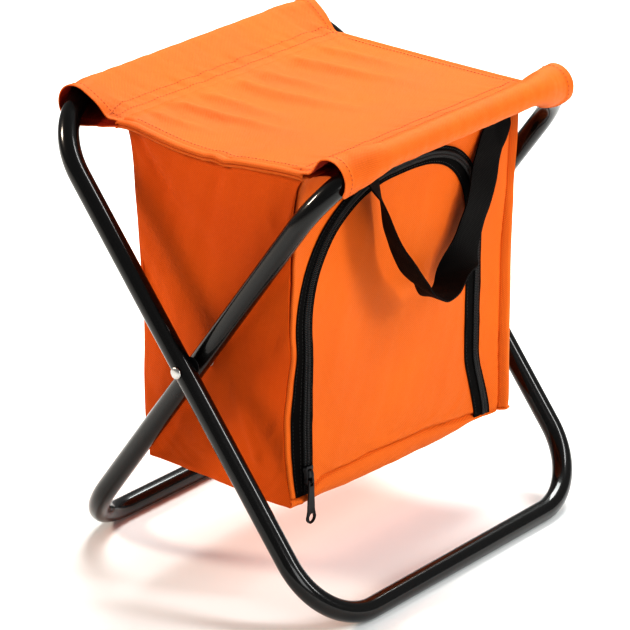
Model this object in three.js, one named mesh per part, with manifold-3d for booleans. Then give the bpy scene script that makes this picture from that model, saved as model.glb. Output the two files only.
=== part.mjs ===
// Folding cooler stool: two crossed tube frames, a cloth seat sewn round both top rails, and an
// insulated bag under the seat with a zipped door in its front.
// Millimetres, +Z up. The origin is on the floor, midway between the frames. X runs from the rear
// rail to the front, Y runs along the rails.
import * as THREE from "three";
import { mergeVertices } from "three/addons/utils/BufferGeometryUtils.js";
import Module from "manifold-3d";

const wasm = await Module();
wasm.setup();

// Clearances and working allowances
const seatGap = 0.3; // between pieces that touch
const overrun = 4; // how far a cutting tool runs past what it cuts
const weldDistance = 1e-4; // points closer than this are one point

// Frame tubes
const tubeDiameter = 16;
const tubeWall = 1;
const bendRadius = 56; // to the tube's axis
const railRise = 170; // rail axis above the pivot
const outerRailReach = 130; // rail axis in front of or behind the pivot
const innerRailReach = 124;
const innerHalfWidth = 143; // leg axis to the middle of the stool
const legGap = 1.5; // between the inner and the outer leg
const tubeSides = 16;
const bendSteps = 8;
const tubeJoint = 0.6; // slit where the two ends of a bent tube meet, inside the sleeve
const spliceLength = 60;

// Pivot
const rivetRadius = 2.5;
const rivetHoleClearance = 0.3;
const rivetHeadRadius = 4.6;
const rivetHeadHeight = 2.2;
const rivetTailRadius = 3.8;
const rivetTailHeight = 1.4;
const spacerRadius = 7;
const backingRadius = 6;
const backingThickness = 1;
const turnedSides = 20;

// Seat
const cloth = 1.2;
const sleeveClearance = 0.4; // between tube and sleeve
const seatDrop = 9; // seat's top below the rails' axes
const seatOverhang = 10; // from the bag's face to the seam between seat panel and sleeve
const sleeveOverhang = 5; // sleeve beyond the bag at each end
const sleeveTip = 3; // sewn strip at the seam, solid through both layers
const sleeveSteps = 12;
const bindingWidth = 10;
const bindingThickness = 1.2;

// Cooler bag
const bagHalfDepth = 74;
const bagHeight = 258.5;
const bagLegGap = 5; // from the bag's side to the inner legs
const foam = 4;
const liner = 0.6;

// Zipped door. The zip's line is an arch that is rounder on the near side than on the far side
const zipMiddle = -12; // middle of the arch, along Y
const zipSideMargin = 29; // what half the zip's width is less than half the bag's
const zipTopMargin = 30.5; // from the top of the arch to the top of the bag
const zipRise = 92; // height of the arch
const nearRoundnessShare = 2.1; // exponent of the arch's curve
const farRoundnessShare = 3.2;
const archSteps = 9;
const zipFootRise = 7; // above the bag's bottom
const hingeRise = 33; // the door bends here, above the bag's bottom
const coilWidth = 2.8; // one half of the coil
const coilHeight = 2;
const coilGap = 0.15; // from the zip's line to each half
const outerTape = { near: 14, top: 6, far: 5 }; // visible width on the bag's side
const doorTape = { near: 6, top: 6, far: 12 }; // visible width on the door's side
const doorFoamInset = 2;
const frontFoamInset = 3;

// Zip slider and pull tab
const sliderRise = 14; // above the bag's bottom
const sliderLength = 15;
const sliderPlate = 1.2;
const sliderFlange = 0.9;
const sliderSidePlay = 0.95; // from the coil to each flange
const crownWidth = 2.2;
const crownBar = 1.2;
const crownFoot = 1.4; // from the slider's lower end to the crown
const crownHead = 3.1; // from the crown to the slider's upper end
const tabThickness = 1.4;
const tabPlay = 0.4; // of the cross bar in the crown
const tabSidePlay = 0.5;
const tabWindowPlay = 2.2; // below the crown
const tabArm = 1.2; // beside the window
const tabWidth = 7.4;
const tabLength = 29; // from the cross bar to the middle of the ring
const tabRingRadius = 5;
const tabRim = 2.1; // round the ring's hole
const tabHoleStretch = 0.6; // how much taller than wide the hole is

// Carrying strap
const strapWidth = 30;
const strapThickness = 1.6;
const strapTopMargin = 4.5; // from its sewn ends to the top of the bag
const strapNearMargin = 87; // from its near end's middle to the bag's near side
const strapFarMargin = 26;
const strapDrop = 124; // how far its lowest point hangs down
const strapReach = 31; // how far it stands out from the bag
// along, down and out are shares of the span, the drop and the reach; turn is in degrees, of the
// webbing's width away from Y
const strapRouteShares = [
  { along: 1, down: 0, out: 0, turn: 0 },
  { along: 1, down: 0.1, out: 0.02, turn: 0 },
  { along: 0.99, down: 0.24, out: 0.12, turn: 3 },
  { along: 0.92, down: 0.38, out: 0.34, turn: 12 },
  { along: 0.83, down: 0.53, out: 0.55, turn: 22 },
  { along: 0.71, down: 0.67, out: 0.72, turn: 35 },
  { along: 0.57, down: 0.8, out: 0.86, turn: 50 },
  { along: 0.44, down: 0.92, out: 0.96, turn: 68 },
  { along: 0.3, down: 1, out: 1, turn: 88 },
  { along: 0.17, down: 0.91, out: 0.97, turn: 84 },
  { along: 0.08, down: 0.75, out: 0.88, turn: 66 },
  { along: 0.03, down: 0.58, out: 0.78, turn: 56 },
  { along: 0, down: 0.41, out: 0.66, turn: 50 },
  { along: 0, down: 0.25, out: 0.44, turn: 40 },
  { along: 0, down: 0.12, out: 0.14, turn: 12 },
  { along: 0, down: 0, out: 0, turn: 0 },
];

// Derived sizes
const tubeRadius = tubeDiameter / 2;
const boreRadius = tubeRadius - tubeWall;
const pivotHeight = railRise + tubeRadius;
const railHeight = pivotHeight + railRise;
const outerHalfWidth = innerHalfWidth + tubeDiameter + legGap;
const rivetHole = rivetRadius + rivetHoleClearance;
const bagHalfWidth = innerHalfWidth - tubeRadius - bagLegGap;
const sleeveLength = 2 * (bagHalfWidth + sleeveOverhang);
const seatTop = railHeight - seatDrop;
const seatSeam = bagHalfDepth + seatOverhang;
const foamInset = cloth + seatGap;
const linerInset = foamInset + foam + seatGap;
const bagTop = seatTop - cloth - seatGap;
const bagBottom = bagTop - bagHeight;
const frontFace = bagHalfDepth;
const coilFront = frontFace + seatGap + coilHeight;
const zipHalfWidth = bagHalfWidth - zipSideMargin;
const zipNear = zipMiddle - zipHalfWidth;
const zipSpring = bagTop - zipTopMargin - zipRise;
const zipFoot = bagBottom + zipFootRise;
const hingeHeight = bagBottom + hingeRise;
const sliderBack = coilFront + seatGap;
const sliderFront = sliderBack + sliderPlate;
const sliderBottom = bagBottom + sliderRise;

// Materials
const blackTube = new THREE.MeshStandardMaterial({ color: 0x0d0d0e, roughness: 0.22, metalness: 0.35 });
const plainSteel = new THREE.MeshStandardMaterial({ color: 0x8d9094, roughness: 0.4, metalness: 1 });
const zincSteel = new THREE.MeshStandardMaterial({ color: 0xb9bcc0, roughness: 0.35, metalness: 1 });
const nylon = new THREE.MeshStandardMaterial({ color: 0x1a1a1b, roughness: 0.6, metalness: 0 });
const orangeCloth = new THREE.MeshStandardMaterial({ color: 0xf7732a, roughness: 0.85, metalness: 0 });
const whiteFoam = new THREE.MeshStandardMaterial({ color: 0xe9e9e4, roughness: 0.9, metalness: 0 });
const foil = new THREE.MeshStandardMaterial({ color: 0xc7c9cc, roughness: 0.3, metalness: 0.8 });
const zipBlack = new THREE.MeshStandardMaterial({ color: 0x151515, roughness: 0.8, metalness: 0 });
const webbing = new THREE.MeshStandardMaterial({ color: 0x121212, roughness: 0.9, metalness: 0 });
const gunmetal = new THREE.MeshStandardMaterial({ color: 0x26272a, roughness: 0.35, metalness: 0.9 });

const stool = new THREE.Group();

// Solids and meshes
function piece(name, geometry, material, place = (mesh) => mesh) {
  const mesh = new THREE.Mesh(geometry, material);
  mesh.name = name;
  place(mesh);
  stool.add(mesh);
  return mesh;
}

// A geometry as a closed solid that can be joined and cut, after an optional move.
function solid(geometry, move = new THREE.Matrix4()) {
  const bare = geometry.clone();
  bare.deleteAttribute("normal");
  bare.deleteAttribute("uv");
  bare.applyMatrix4(move);
  const merged = mergeVertices(bare, weldDistance);
  const vertProperties = new Float32Array(merged.attributes.position.array);
  const triVerts = new Uint32Array(merged.index.array);
  return new wasm.Manifold(new wasm.Mesh({ numProp: 3, vertProperties, triVerts }));
}

function geometryOf(made) {
  const mesh = made.getMesh();
  const geometry = new THREE.BufferGeometry();
  geometry.setAttribute("position", new THREE.BufferAttribute(mesh.vertProperties, 3));
  geometry.setIndex(new THREE.BufferAttribute(mesh.triVerts, 1));
  geometry.computeVertexNormals();
  return geometry;
}

// Joins rings of the same number of points into one closed solid, with a flat cap on each end.
function loft(rings) {
  const count = rings[0].length;
  const points = rings.flat();
  const faces = [];
  for (let r = 0; r < rings.length - 1; r++) {
    for (let k = 0; k < count; k++) {
      const a = r * count + k;
      const b = r * count + ((k + 1) % count);
      faces.push(a, b, a + count, b, b + count, a + count);
    }
  }
  const last = (rings.length - 1) * count;
  for (let k = 1; k < count - 1; k++) {
    faces.push(0, k + 1, k);
    faces.push(last, last + k, last + k + 1);
  }
  const volume = faces.reduce((sum, _, i) => {
    if (i % 3) return sum;
    const [a, b, c] = [points[faces[i]], points[faces[i + 1]], points[faces[i + 2]]];
    return sum + a.dot(new THREE.Vector3().crossVectors(b, c));
  }, 0);
  if (volume < 0) faces.reverse();
  const geometry = new THREE.BufferGeometry().setFromPoints(points);
  geometry.setIndex(faces);
  geometry.computeVertexNormals();
  return geometry;
}

function block(x0, x1, y0, y1, z0, z1) {
  const geometry = new THREE.BoxGeometry(x1 - x0, y1 - y0, z1 - z0);
  return geometry.translate((x0 + x1) / 2, (y0 + y1) / 2, (z0 + z1) / 2);
}

// Frames: a rectangle of bent tube that leans across the pivot
// Stations along the loop from one side of the slit in the top rail round to the other. Each has
// its place in the loop's plane, across (along Y) and up (along the legs), and its outward direction.
const quarterTurn = Math.PI / 2;
function loopStations(halfWidth, halfLength) {
  const w = halfWidth - bendRadius;
  const h = halfLength - bendRadius;
  const corners = [
    { across: w, up: h, from: quarterTurn },
    { across: w, up: -h, from: 0 },
    { across: -w, up: -h, from: -quarterTurn },
    { across: -w, up: h, from: -2 * quarterTurn },
  ];
  const stations = [{ across: tubeJoint / 2, up: halfLength, angle: Math.PI / 2 }];
  for (const corner of corners) {
    for (let i = 0; i <= bendSteps; i++) {
      const angle = corner.from - (quarterTurn * i) / bendSteps;
      const across = corner.across + bendRadius * Math.cos(angle);
      const up = corner.up + bendRadius * Math.sin(angle);
      stations.push({ across, up, angle });
    }
  }
  stations.push({ across: -tubeJoint / 2, up: halfLength, angle: Math.PI / 2 });
  return stations;
}

// side is -1 for the loop whose top rail is at the rear, and 1 for the other.
function loopRings(side, reach, halfWidth, radius) {
  const slope = Math.atan2(reach, railRise);
  const up = new THREE.Vector3(side * Math.sin(slope), 0, Math.cos(slope));
  const across = new THREE.Vector3(0, 1, 0);
  const through = new THREE.Vector3().crossVectors(across, up);
  const corner = radius / Math.cos(Math.PI / tubeSides); // so that a flat side lies radius from the axis
  const firstVertex = side * slope - Math.PI / tubeSides; // so that one flat side faces the floor
  return loopStations(halfWidth, Math.hypot(reach, railRise)).map((s) => {
    const outward = across.clone().multiplyScalar(Math.cos(s.angle));
    outward.addScaledVector(up, Math.sin(s.angle));
    const centre = new THREE.Vector3(0, 0, pivotHeight);
    centre.addScaledVector(across, s.across);
    centre.addScaledVector(up, s.up);
    return Array.from({ length: tubeSides }, (_, k) => {
      const a = firstVertex + (2 * Math.PI * k) / tubeSides;
      const point = centre.clone().addScaledVector(outward, corner * Math.cos(a));
      return point.addScaledVector(through, corner * Math.sin(a));
    });
  });
}

// The bore runs a little past both ends of the tube, into the slit.
function stretchEnds(rings, length) {
  const shift = (ring, sign) => ring.map((p) => p.clone().add(new THREE.Vector3(0, sign * length, 0)));
  return [shift(rings[0], -1), ...rings.slice(1, -1), shift(rings[rings.length - 1], 1)];
}

// A round solid about the pivot axis, from a profile of [radius, distance from the middle].
function turned(profile) {
  const points = profile.map(([r, y]) => new THREE.Vector2(r, y));
  return new THREE.LatheGeometry(points, turnedSides);
}

function pivotMove() {
  return new THREE.Matrix4().makeTranslation(0, 0, pivotHeight);
}

function frameTube(side, reach, halfWidth) {
  const outside = solid(loft(loopRings(side, reach, halfWidth, tubeRadius)));
  const boreRings = loopRings(side, reach, halfWidth, boreRadius);
  const bore = solid(loft(stretchEnds(boreRings, tubeJoint / 4)));
  const drillLength = 2 * (halfWidth + tubeRadius + overrun);
  const drill = new THREE.CylinderGeometry(rivetHole, rivetHole, drillLength, turnedSides);
  return outside.subtract(bore).subtract(solid(drill, pivotMove()));
}

function splice(side, reach) {
  const radius = boreRadius - seatGap;
  const plug = new THREE.CylinderGeometry(radius, radius, spliceLength, tubeSides);
  return plug.translate(side * reach, 0, railHeight);
}

piece("outer_frame_tube", geometryOf(frameTube(-1, outerRailReach, outerHalfWidth)), blackTube);
piece("inner_frame_tube", geometryOf(frameTube(1, innerRailReach, innerHalfWidth)), blackTube);
piece("outer_frame_splice", splice(-1, outerRailReach), plainSteel);
piece("inner_frame_splice", splice(1, innerRailReach), plainSteel);

// Pivot rivets and washers, one set on each side
function ring(inner, outer, y0, y1) {
  return turned([[inner, y0], [outer, y0], [outer, y1], [inner, y1], [inner, y0]]);
}

// Measured from the middle outwards: formed tail, backing washer, inner leg, spacer, outer leg, head.
const backingOuter = innerHalfWidth - tubeRadius - seatGap;
const backingInner = backingOuter - backingThickness;
const tailOuter = backingInner - seatGap;
const tailInner = tailOuter - rivetTailHeight;
const headInner = outerHalfWidth + tubeRadius + seatGap;
const headOuter = headInner + rivetHeadHeight;
const spacerInner = innerHalfWidth + tubeRadius + seatGap;
const spacerThickness = legGap - 2 * seatGap;
const domeRimShare = 0.45; // height of the head's rim
const domeEdgeShare = 0.7; // radius where the dome starts to flatten
const domeShoulderShare = 0.85;

function rivetProfile() {
  return [
    [0, tailInner],
    [rivetTailRadius, tailInner],
    [rivetTailRadius, tailOuter],
    [rivetRadius, tailOuter],
    [rivetRadius, headInner],
    [rivetHeadRadius, headInner],
    [rivetHeadRadius, headInner + rivetHeadHeight * domeRimShare],
    [rivetHeadRadius * domeEdgeShare, headInner + rivetHeadHeight * domeShoulderShare],
    [0, headOuter],
  ];
}

for (const [sideName, turn] of [["near", Math.PI], ["far", 0]]) {
  const place = (mesh) => {
    mesh.rotation.z = turn;
    mesh.position.z = pivotHeight;
  };
  const spacer = ring(rivetHole, spacerRadius, spacerInner, spacerInner + spacerThickness);
  piece("pivot_rivet_" + sideName, turned(rivetProfile()), zincSteel, place);
  piece("pivot_spacer_" + sideName, spacer, nylon, place);
  const washer = ring(rivetHole, backingRadius, backingInner, backingOuter);
  piece("rivet_washer_" + sideName, washer, zincSteel, place);
}

// Seat: a sleeve sewn round each top rail and a panel between them
// An outline in X and Z, carried along Y.
function alongY(shape, length) {
  const geometry = new THREE.ExtrudeGeometry(shape, { depth: length, bevelEnabled: false });
  const turn = new THREE.Matrix4().makeBasis(
    new THREE.Vector3(1, 0, 0),
    new THREE.Vector3(0, 0, 1),
    new THREE.Vector3(0, -1, 0),
  );
  return geometry.applyMatrix4(turn).translate(0, length / 2, 0);
}

// The two layers leave the rail as tangents that meet at the tip. These are the angles where they do.
function tangentAngles(reach, tipX, tipZ, radius) {
  const towardsTip = Math.atan2(tipZ - railHeight, tipX - reach);
  const half = Math.acos(radius / Math.hypot(tipX - reach, tipZ - railHeight));
  return { top: towardsTip + 2 * Math.PI - half, bottom: towardsTip + half };
}

// Points round the rail from the upper tangent, outwards, to the lower one.
function wrap(side, reach, angles, radius) {
  return Array.from({ length: sleeveSteps + 1 }, (_, i) => {
    const a = THREE.MathUtils.lerp(angles.top, angles.bottom, i / sleeveSteps);
    return new THREE.Vector2(side * (reach + radius * Math.cos(a)), railHeight + radius * Math.sin(a));
  });
}

function sleeve(side, reach) {
  const seam = seatSeam + seatGap;
  const tip = seam + sleeveTip;
  const middle = seatTop - cloth / 2;
  const angles = tangentAngles(reach, tip, middle, tubeRadius + sleeveClearance);
  const halfStep = (angles.top - angles.bottom) / (2 * sleeveSteps);
  const inside = (tubeRadius + sleeveClearance) / Math.cos(halfStep);
  const shape = new THREE.Shape([
    new THREE.Vector2(side * seam, middle + cloth),
    ...wrap(side, reach, angles, inside + cloth),
    new THREE.Vector2(side * seam, middle - cloth),
  ]);
  const hollow = [new THREE.Vector2(side * tip, middle), ...wrap(side, reach, angles, inside)];
  shape.holes.push(new THREE.Path(hollow.reverse()));
  return solid(alongY(shape, sleeveLength));
}

// The tube bends away from the sleeve's ends, through its lower layer.
function clearOfTube(made, side, reach, halfWidth) {
  const flatToFlat = (tubeRadius + sleeveClearance) * Math.cos(Math.PI / tubeSides);
  return made.subtract(solid(loft(loopRings(side, reach, halfWidth, flatToFlat))));
}

const rearSleeve = clearOfTube(sleeve(-1, outerRailReach), -1, outerRailReach, outerHalfWidth);
const frontSleeve = clearOfTube(sleeve(1, innerRailReach), 1, innerRailReach, innerHalfWidth);
piece("seat_rear_sleeve", geometryOf(rearSleeve), orangeCloth);
piece("seat_front_sleeve", geometryOf(frontSleeve), orangeCloth);
piece(
  "seat_panel",
  block(-seatSeam, seatSeam, -bagHalfWidth, bagHalfWidth, seatTop - cloth, seatTop),
  orangeCloth,
);
const bindingTop = seatTop - cloth / 2 - cloth - seatGap;
piece(
  "front_seam_binding",
  block(
    seatSeam - bindingWidth / 4,
    seatSeam + (bindingWidth * 3) / 4,
    -bagHalfWidth,
    bagHalfWidth,
    bindingTop - bindingThickness,
    bindingTop,
  ),
  orangeCloth,
);

// Cooler bag: cloth outside, foam, and a foil liner, one flat piece of each to a wall
function walls(inset, thickness) {
  const x = bagHalfDepth - inset;
  const y = bagHalfWidth - inset;
  const z0 = bagBottom + inset;
  const z1 = bagTop - inset;
  const sideX = x - thickness - seatGap;
  const innerY = y - thickness - seatGap;
  return {
    back: () => block(-x, -x + thickness, -y, y, z0, z1),
    front: () => block(x - thickness, x, -y, y, z0, z1),
    near_side: () => block(-sideX, sideX, -y, -y + thickness, z0, z1),
    far_side: () => block(-sideX, sideX, y - thickness, y, z0, z1),
    bottom: () => block(-sideX, sideX, -innerY, innerY, z0, z0 + thickness),
    top: () => block(-sideX, sideX, -innerY, innerY, z1 - thickness, z1),
  };
}

const clothWalls = walls(0, cloth);
const foamWalls = walls(foamInset, foam);
const linerWalls = walls(linerInset, liner);
for (const wall of ["back", "near_side", "far_side", "bottom"]) {
  piece(wall + "_panel", clothWalls[wall](), orangeCloth);
}
for (const wall of ["back", "near_side", "far_side", "bottom", "top"]) {
  piece("foam_" + wall, foamWalls[wall](), whiteFoam);
  piece("liner_" + wall, linerWalls[wall](), foil);
}

// The zip's line, moved outwards by the given widths on its near side, top and far side, from the
// near foot over the arch to the far foot. Across is Y and up is Z.
function arch(out, foot) {
  const nearHalf = zipHalfWidth + out.near;
  const farHalf = zipHalfWidth + out.far;
  const rise = zipRise + out.top;
  const points = [new THREE.Vector2(zipMiddle - nearHalf, foot)];
  for (let i = 0; i <= 2 * archSteps; i++) {
    const t = Math.PI - (Math.PI * i) / (2 * archSteps);
    const near = i <= archSteps;
    const power = 2 / (near ? nearRoundnessShare : farRoundnessShare);
    const half = near ? nearHalf : farHalf;
    const c = Math.abs(Math.cos(t)) ** power;
    const s = Math.abs(Math.sin(t)) ** power;
    points.push(new THREE.Vector2(zipMiddle + Math.sign(i - archSteps) * half * c, zipSpring + rise * s));
  }
  points.push(new THREE.Vector2(zipMiddle + farHalf, foot));
  return points;
}

function evenly(width) {
  return { near: width, top: width, far: width };
}

function widened(widths, extra) {
  return { near: widths.near + extra, top: widths.top + extra, far: widths.far + extra };
}

function inwards(widths) {
  return { near: -widths.near, top: -widths.top, far: -widths.far };
}

// An outline in Y and Z, carried along X from x0 to x1.
function alongX(shape, x0, x1) {
  const geometry = new THREE.ExtrudeGeometry(shape, { depth: x1 - x0, bevelEnabled: false });
  const turn = new THREE.Matrix4().makeBasis(
    new THREE.Vector3(0, 1, 0),
    new THREE.Vector3(0, 0, 1),
    new THREE.Vector3(1, 0, 0),
  );
  return geometry.applyMatrix4(turn).translate(x0, 0, 0);
}

// A band that follows the zip's line between two offsets.
function archBand(inner, outer, foot, x0, x1) {
  const shape = new THREE.Shape([...arch(outer, foot), ...arch(inner, foot).reverse()]);
  return alongX(shape, x0, x1);
}

// Front panel with the opening for the zip and door. Below the hinge it reaches to the zip's line.
function frontPanel() {
  const outer = arch(widened(outerTape, seatGap), zipFoot);
  const inner = evenly(-coilGap);
  const opening = [
    ...outer,
    new THREE.Vector2(zipMiddle + zipHalfWidth + inner.far, zipFoot),
    new THREE.Vector2(zipMiddle + zipHalfWidth + inner.far, hingeHeight),
    new THREE.Vector2(zipNear - inner.near, hingeHeight),
    new THREE.Vector2(zipNear - inner.near, zipFoot),
  ];
  const cutter = alongX(new THREE.Shape(opening), frontFace - cloth - overrun, frontFace + overrun);
  return solid(clothWalls.front()).subtract(solid(cutter));
}

function frontFoam() {
  const opening = new THREE.Shape(arch(evenly(frontFoamInset), hingeHeight));
  const outside = frontFace - foamInset;
  const cutter = alongX(opening, outside - foam - overrun, outside + overrun);
  return solid(foamWalls.front()).subtract(solid(cutter));
}

const doorFoot = hingeHeight + seatGap;
const tapeBack = frontFace - cloth;
const doorEdge = widened(inwards(doorTape), -seatGap);
const doorFoamEdge = widened(doorEdge, -doorFoamInset);
const foamFront = frontFace - foamInset;
const linerFront = frontFace - linerInset;
piece("front_panel", geometryOf(frontPanel()), orangeCloth);
piece("foam_front", geometryOf(frontFoam()), whiteFoam);
piece("zip_tape_bag", archBand(evenly(coilGap), outerTape, zipFoot, tapeBack, frontFace), zipBlack);
piece(
  "zip_tape_door",
  archBand(inwards(doorTape), evenly(-coilGap), doorFoot, tapeBack, frontFace),
  zipBlack,
);
piece(
  "zip_coil_bag",
  archBand(evenly(coilGap), evenly(coilGap + coilWidth), zipFoot, frontFace + seatGap, coilFront),
  zipBlack,
);
piece(
  "zip_coil_door",
  archBand(evenly(-coilGap - coilWidth), evenly(-coilGap), doorFoot, frontFace + seatGap, coilFront),
  zipBlack,
);
piece("door_panel", alongX(new THREE.Shape(arch(doorEdge, doorFoot)), tapeBack, frontFace), orangeCloth);
piece(
  "foam_door",
  alongX(new THREE.Shape(arch(doorFoamEdge, doorFoot + doorFoamInset)), foamFront - foam, foamFront),
  whiteFoam,
);
piece(
  "liner_door",
  alongX(new THREE.Shape(arch(doorFoamEdge, doorFoot + doorFoamInset)), linerFront - liner, linerFront),
  foil,
);

// Zip slider: a plate with two flanges over the coil, and a crown that holds the tab's cross bar
const crownGap = tabThickness + 2 * tabPlay;
function slider() {
  const z0 = sliderBottom;
  const z1 = z0 + sliderLength;
  const halfWidth = coilGap + coilWidth + sliderSidePlay + sliderFlange;
  const y0 = zipNear - halfWidth;
  const y1 = zipNear + halfWidth;
  const flangeBack = sliderBack - coilHeight;
  const crownLow = z0 + crownFoot;
  const crownHigh = z1 - crownHead;
  const bar = [zipNear - crownWidth / 2, zipNear + crownWidth / 2];
  const crownFront = sliderFront + crownGap + crownBar;
  const parts = [
    block(sliderBack, sliderFront, y0, y1, z0, z1),
    block(flangeBack, sliderFront, y0, y0 + sliderFlange, z0, z1),
    block(flangeBack, sliderFront, y1 - sliderFlange, y1, z0, z1),
    block(sliderBack, crownFront, ...bar, crownLow, crownLow + crownBar),
    block(sliderBack, crownFront, ...bar, crownHigh - crownBar, crownHigh),
    block(crownFront - crownBar, crownFront, ...bar, crownLow, crownHigh),
  ];
  return parts.map((part) => solid(part)).reduce((sum, part) => sum.add(part));
}

// Pull tab, hung by its cross bar from the crown. Its outline is in Y and Z about the cross bar.
const tabAxisX = sliderFront + crownGap / 2;
const tabAxisZ = sliderBottom + crownFoot + crownBar + crownGap / 2;
function pullTab() {
  const bar = tabThickness / 2;
  const half = crownWidth / 2 + tabSidePlay;
  const head = half + tabArm;
  const body = tabWidth / 2;
  const ringTop = -tabLength + tabRingRadius;
  const windowFoot = -crownGap / 2 - crownBar - tabWindowPlay;
  const shoulder = windowFoot - tabThickness;
  const outline = new THREE.Shape();
  outline.moveTo(-head, bar);
  outline.lineTo(-head, shoulder);
  outline.lineTo(-body, ringTop);
  outline.absarc(0, -tabLength, tabRingRadius, Math.PI, 2 * Math.PI, false);
  outline.lineTo(body, ringTop);
  outline.lineTo(head, shoulder);
  outline.lineTo(head, bar);
  const window = [
    new THREE.Vector2(-half, -bar),
    new THREE.Vector2(-half, windowFoot),
    new THREE.Vector2(half, windowFoot),
    new THREE.Vector2(half, -bar),
  ];
  outline.holes.push(new THREE.Path(window));
  const hole = new THREE.Path();
  const holeRadius = tabRingRadius - tabRim;
  hole.absarc(0, -tabLength, holeRadius, 0, Math.PI, false);
  hole.absarc(0, -tabLength - tabHoleStretch, holeRadius, Math.PI, 2 * Math.PI, false);
  outline.holes.push(hole);
  return alongX(outline, -bar, bar);
}

piece("zip_slider", geometryOf(slider()), gunmetal);
piece("zip_pull_tab", pullTab(), gunmetal, (mesh) => mesh.position.set(tabAxisX, zipNear, tabAxisZ));

// Carrying strap: flat webbing that hangs in a loop in front of the door and turns over on its way
function strap() {
  const sewn = frontFace + seatGap + strapThickness / 2;
  const near = -bagHalfWidth + strapNearMargin;
  const far = bagHalfWidth - strapFarMargin;
  const top = bagTop - strapTopMargin;
  const points = strapRouteShares.map((s) => {
    const y = THREE.MathUtils.lerp(near, far, s.along);
    return new THREE.Vector3(sewn + s.out * strapReach, y, top - s.down * strapDrop);
  });
  const route = new THREE.CatmullRomCurve3(points, false, "centripetal");
  const stepsEach = 2;
  const steps = (points.length - 1) * stepsEach;
  const rings = [];
  for (let i = 0; i <= steps; i++) {
    const t = i / steps;
    const at = t * (points.length - 1);
    const k = Math.min(Math.floor(at), points.length - 2);
    const turn = THREE.MathUtils.lerp(strapRouteShares[k].turn, strapRouteShares[k + 1].turn, at - k);
    const centre = route.getPoint(t);
    const along = route.getTangent(t);
    const facing = new THREE.Vector3(1, 0, 0);
    facing.addScaledVector(along, -facing.dot(along)).normalize();
    facing.applyAxisAngle(along, THREE.MathUtils.degToRad(turn));
    const wide = new THREE.Vector3().crossVectors(along, facing);
    const corner = (w, f) =>
      centre
        .clone()
        .addScaledVector(wide, (w * strapWidth) / 2)
        .addScaledVector(facing, (f * strapThickness) / 2);
    rings.push([corner(-1, -1), corner(1, -1), corner(1, 1), corner(-1, 1)]);
  }
  return loft(rings);
}

piece("carry_strap", strap(), webbing);

export default stool;
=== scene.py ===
# %% [markdown]
# # Folding cooler stool
# Two loops of bent steel tube cross at two rivets. A cloth seat joins their top rails, and a padded
# cooler bag with a zipped door hangs under it. This lesson rebuilds the cloth, the zip and the metal
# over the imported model, which gives every place and size. Shapes are worked out in millimetres with
# numpy, as points on grids, and one helper turns them into meshes in metres.

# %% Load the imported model
import math
import bpy
import numpy as np
from mathutils import Matrix, Vector


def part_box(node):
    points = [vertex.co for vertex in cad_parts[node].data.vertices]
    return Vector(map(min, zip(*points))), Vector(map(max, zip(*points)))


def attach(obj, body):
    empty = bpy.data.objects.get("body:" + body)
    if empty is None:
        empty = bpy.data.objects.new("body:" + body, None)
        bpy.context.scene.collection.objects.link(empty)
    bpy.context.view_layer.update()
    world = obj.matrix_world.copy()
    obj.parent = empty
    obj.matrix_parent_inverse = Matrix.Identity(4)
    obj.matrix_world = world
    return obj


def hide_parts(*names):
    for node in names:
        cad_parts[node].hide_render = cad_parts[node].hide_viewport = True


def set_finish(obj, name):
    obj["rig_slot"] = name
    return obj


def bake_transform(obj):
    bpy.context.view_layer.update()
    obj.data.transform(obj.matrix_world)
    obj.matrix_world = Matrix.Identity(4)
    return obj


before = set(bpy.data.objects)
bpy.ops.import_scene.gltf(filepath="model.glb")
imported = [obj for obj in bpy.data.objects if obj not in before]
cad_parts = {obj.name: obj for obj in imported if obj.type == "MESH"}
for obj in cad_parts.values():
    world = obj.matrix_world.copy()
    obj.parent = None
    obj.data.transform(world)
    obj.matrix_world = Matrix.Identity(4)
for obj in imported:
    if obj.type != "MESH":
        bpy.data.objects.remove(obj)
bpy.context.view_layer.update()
MM = 0.001

# %% [markdown]
# ## The camera
# The photograph was taken with a long lens from a little above, off the near front corner. The
# place, the aim and the focal length were fitted to points measured on the tubes in the photograph.
# A camera could also be aimed with a Track To constraint, but fixed numbers give the same frame
# each time.

# %% Place the camera
camera_data = bpy.data.cameras.new("camera")
camera_data.sensor_width = 36
camera_data.lens = 219.26
camera_data.clip_end = 60
camera = bpy.data.objects.new("camera", camera_data)
bpy.context.scene.collection.objects.link(camera)
camera.location = (1.6581, -2.0737, 1.2488)
aim = Vector((-0.00739, -0.00127, 0.1680)) - camera.location
roll = Matrix.Rotation(math.radians(0.05), 4, "Z")
aimed = aim.to_track_quat("-Z", "Y").to_matrix().to_4x4() @ roll
camera.matrix_world = Matrix.Translation(camera.location) @ aimed
bpy.context.scene.camera = camera
print("camera is", round(aim.length, 3), "m from the stool")

# %% [markdown]
# ## The studio
# A pale floor, a large soft lamp above that rakes across the seat's folds, a key lamp from the far
# front that throws the strap's shadow on the door, a wide fill from the near front, and a warm lamp on
# the near side that throws the legs' soft shadows on the bag. A tall strip is there for its
# reflection, the bright line along each tube. The Standard view keeps the cloth's strong orange,
# which a filmic view would wash out.

# %% Lights, world and floor
def area_light(name, place, target, size, watts, colour=(1, 1, 1)):
    """A square or oblong lamp at a place in metres that looks at a target."""
    data = bpy.data.lights.new(name, "AREA")
    data.shape = "RECTANGLE"
    data.size, data.size_y = size
    data.energy = watts
    data.color = colour
    lamp = bpy.data.objects.new(name, data)
    bpy.context.scene.collection.objects.link(lamp)
    lamp.location = place
    direction = Vector(target) - Vector(place)
    lamp.rotation_euler = direction.to_track_quat("-Z", "Y").to_euler()
    return lamp


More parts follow.
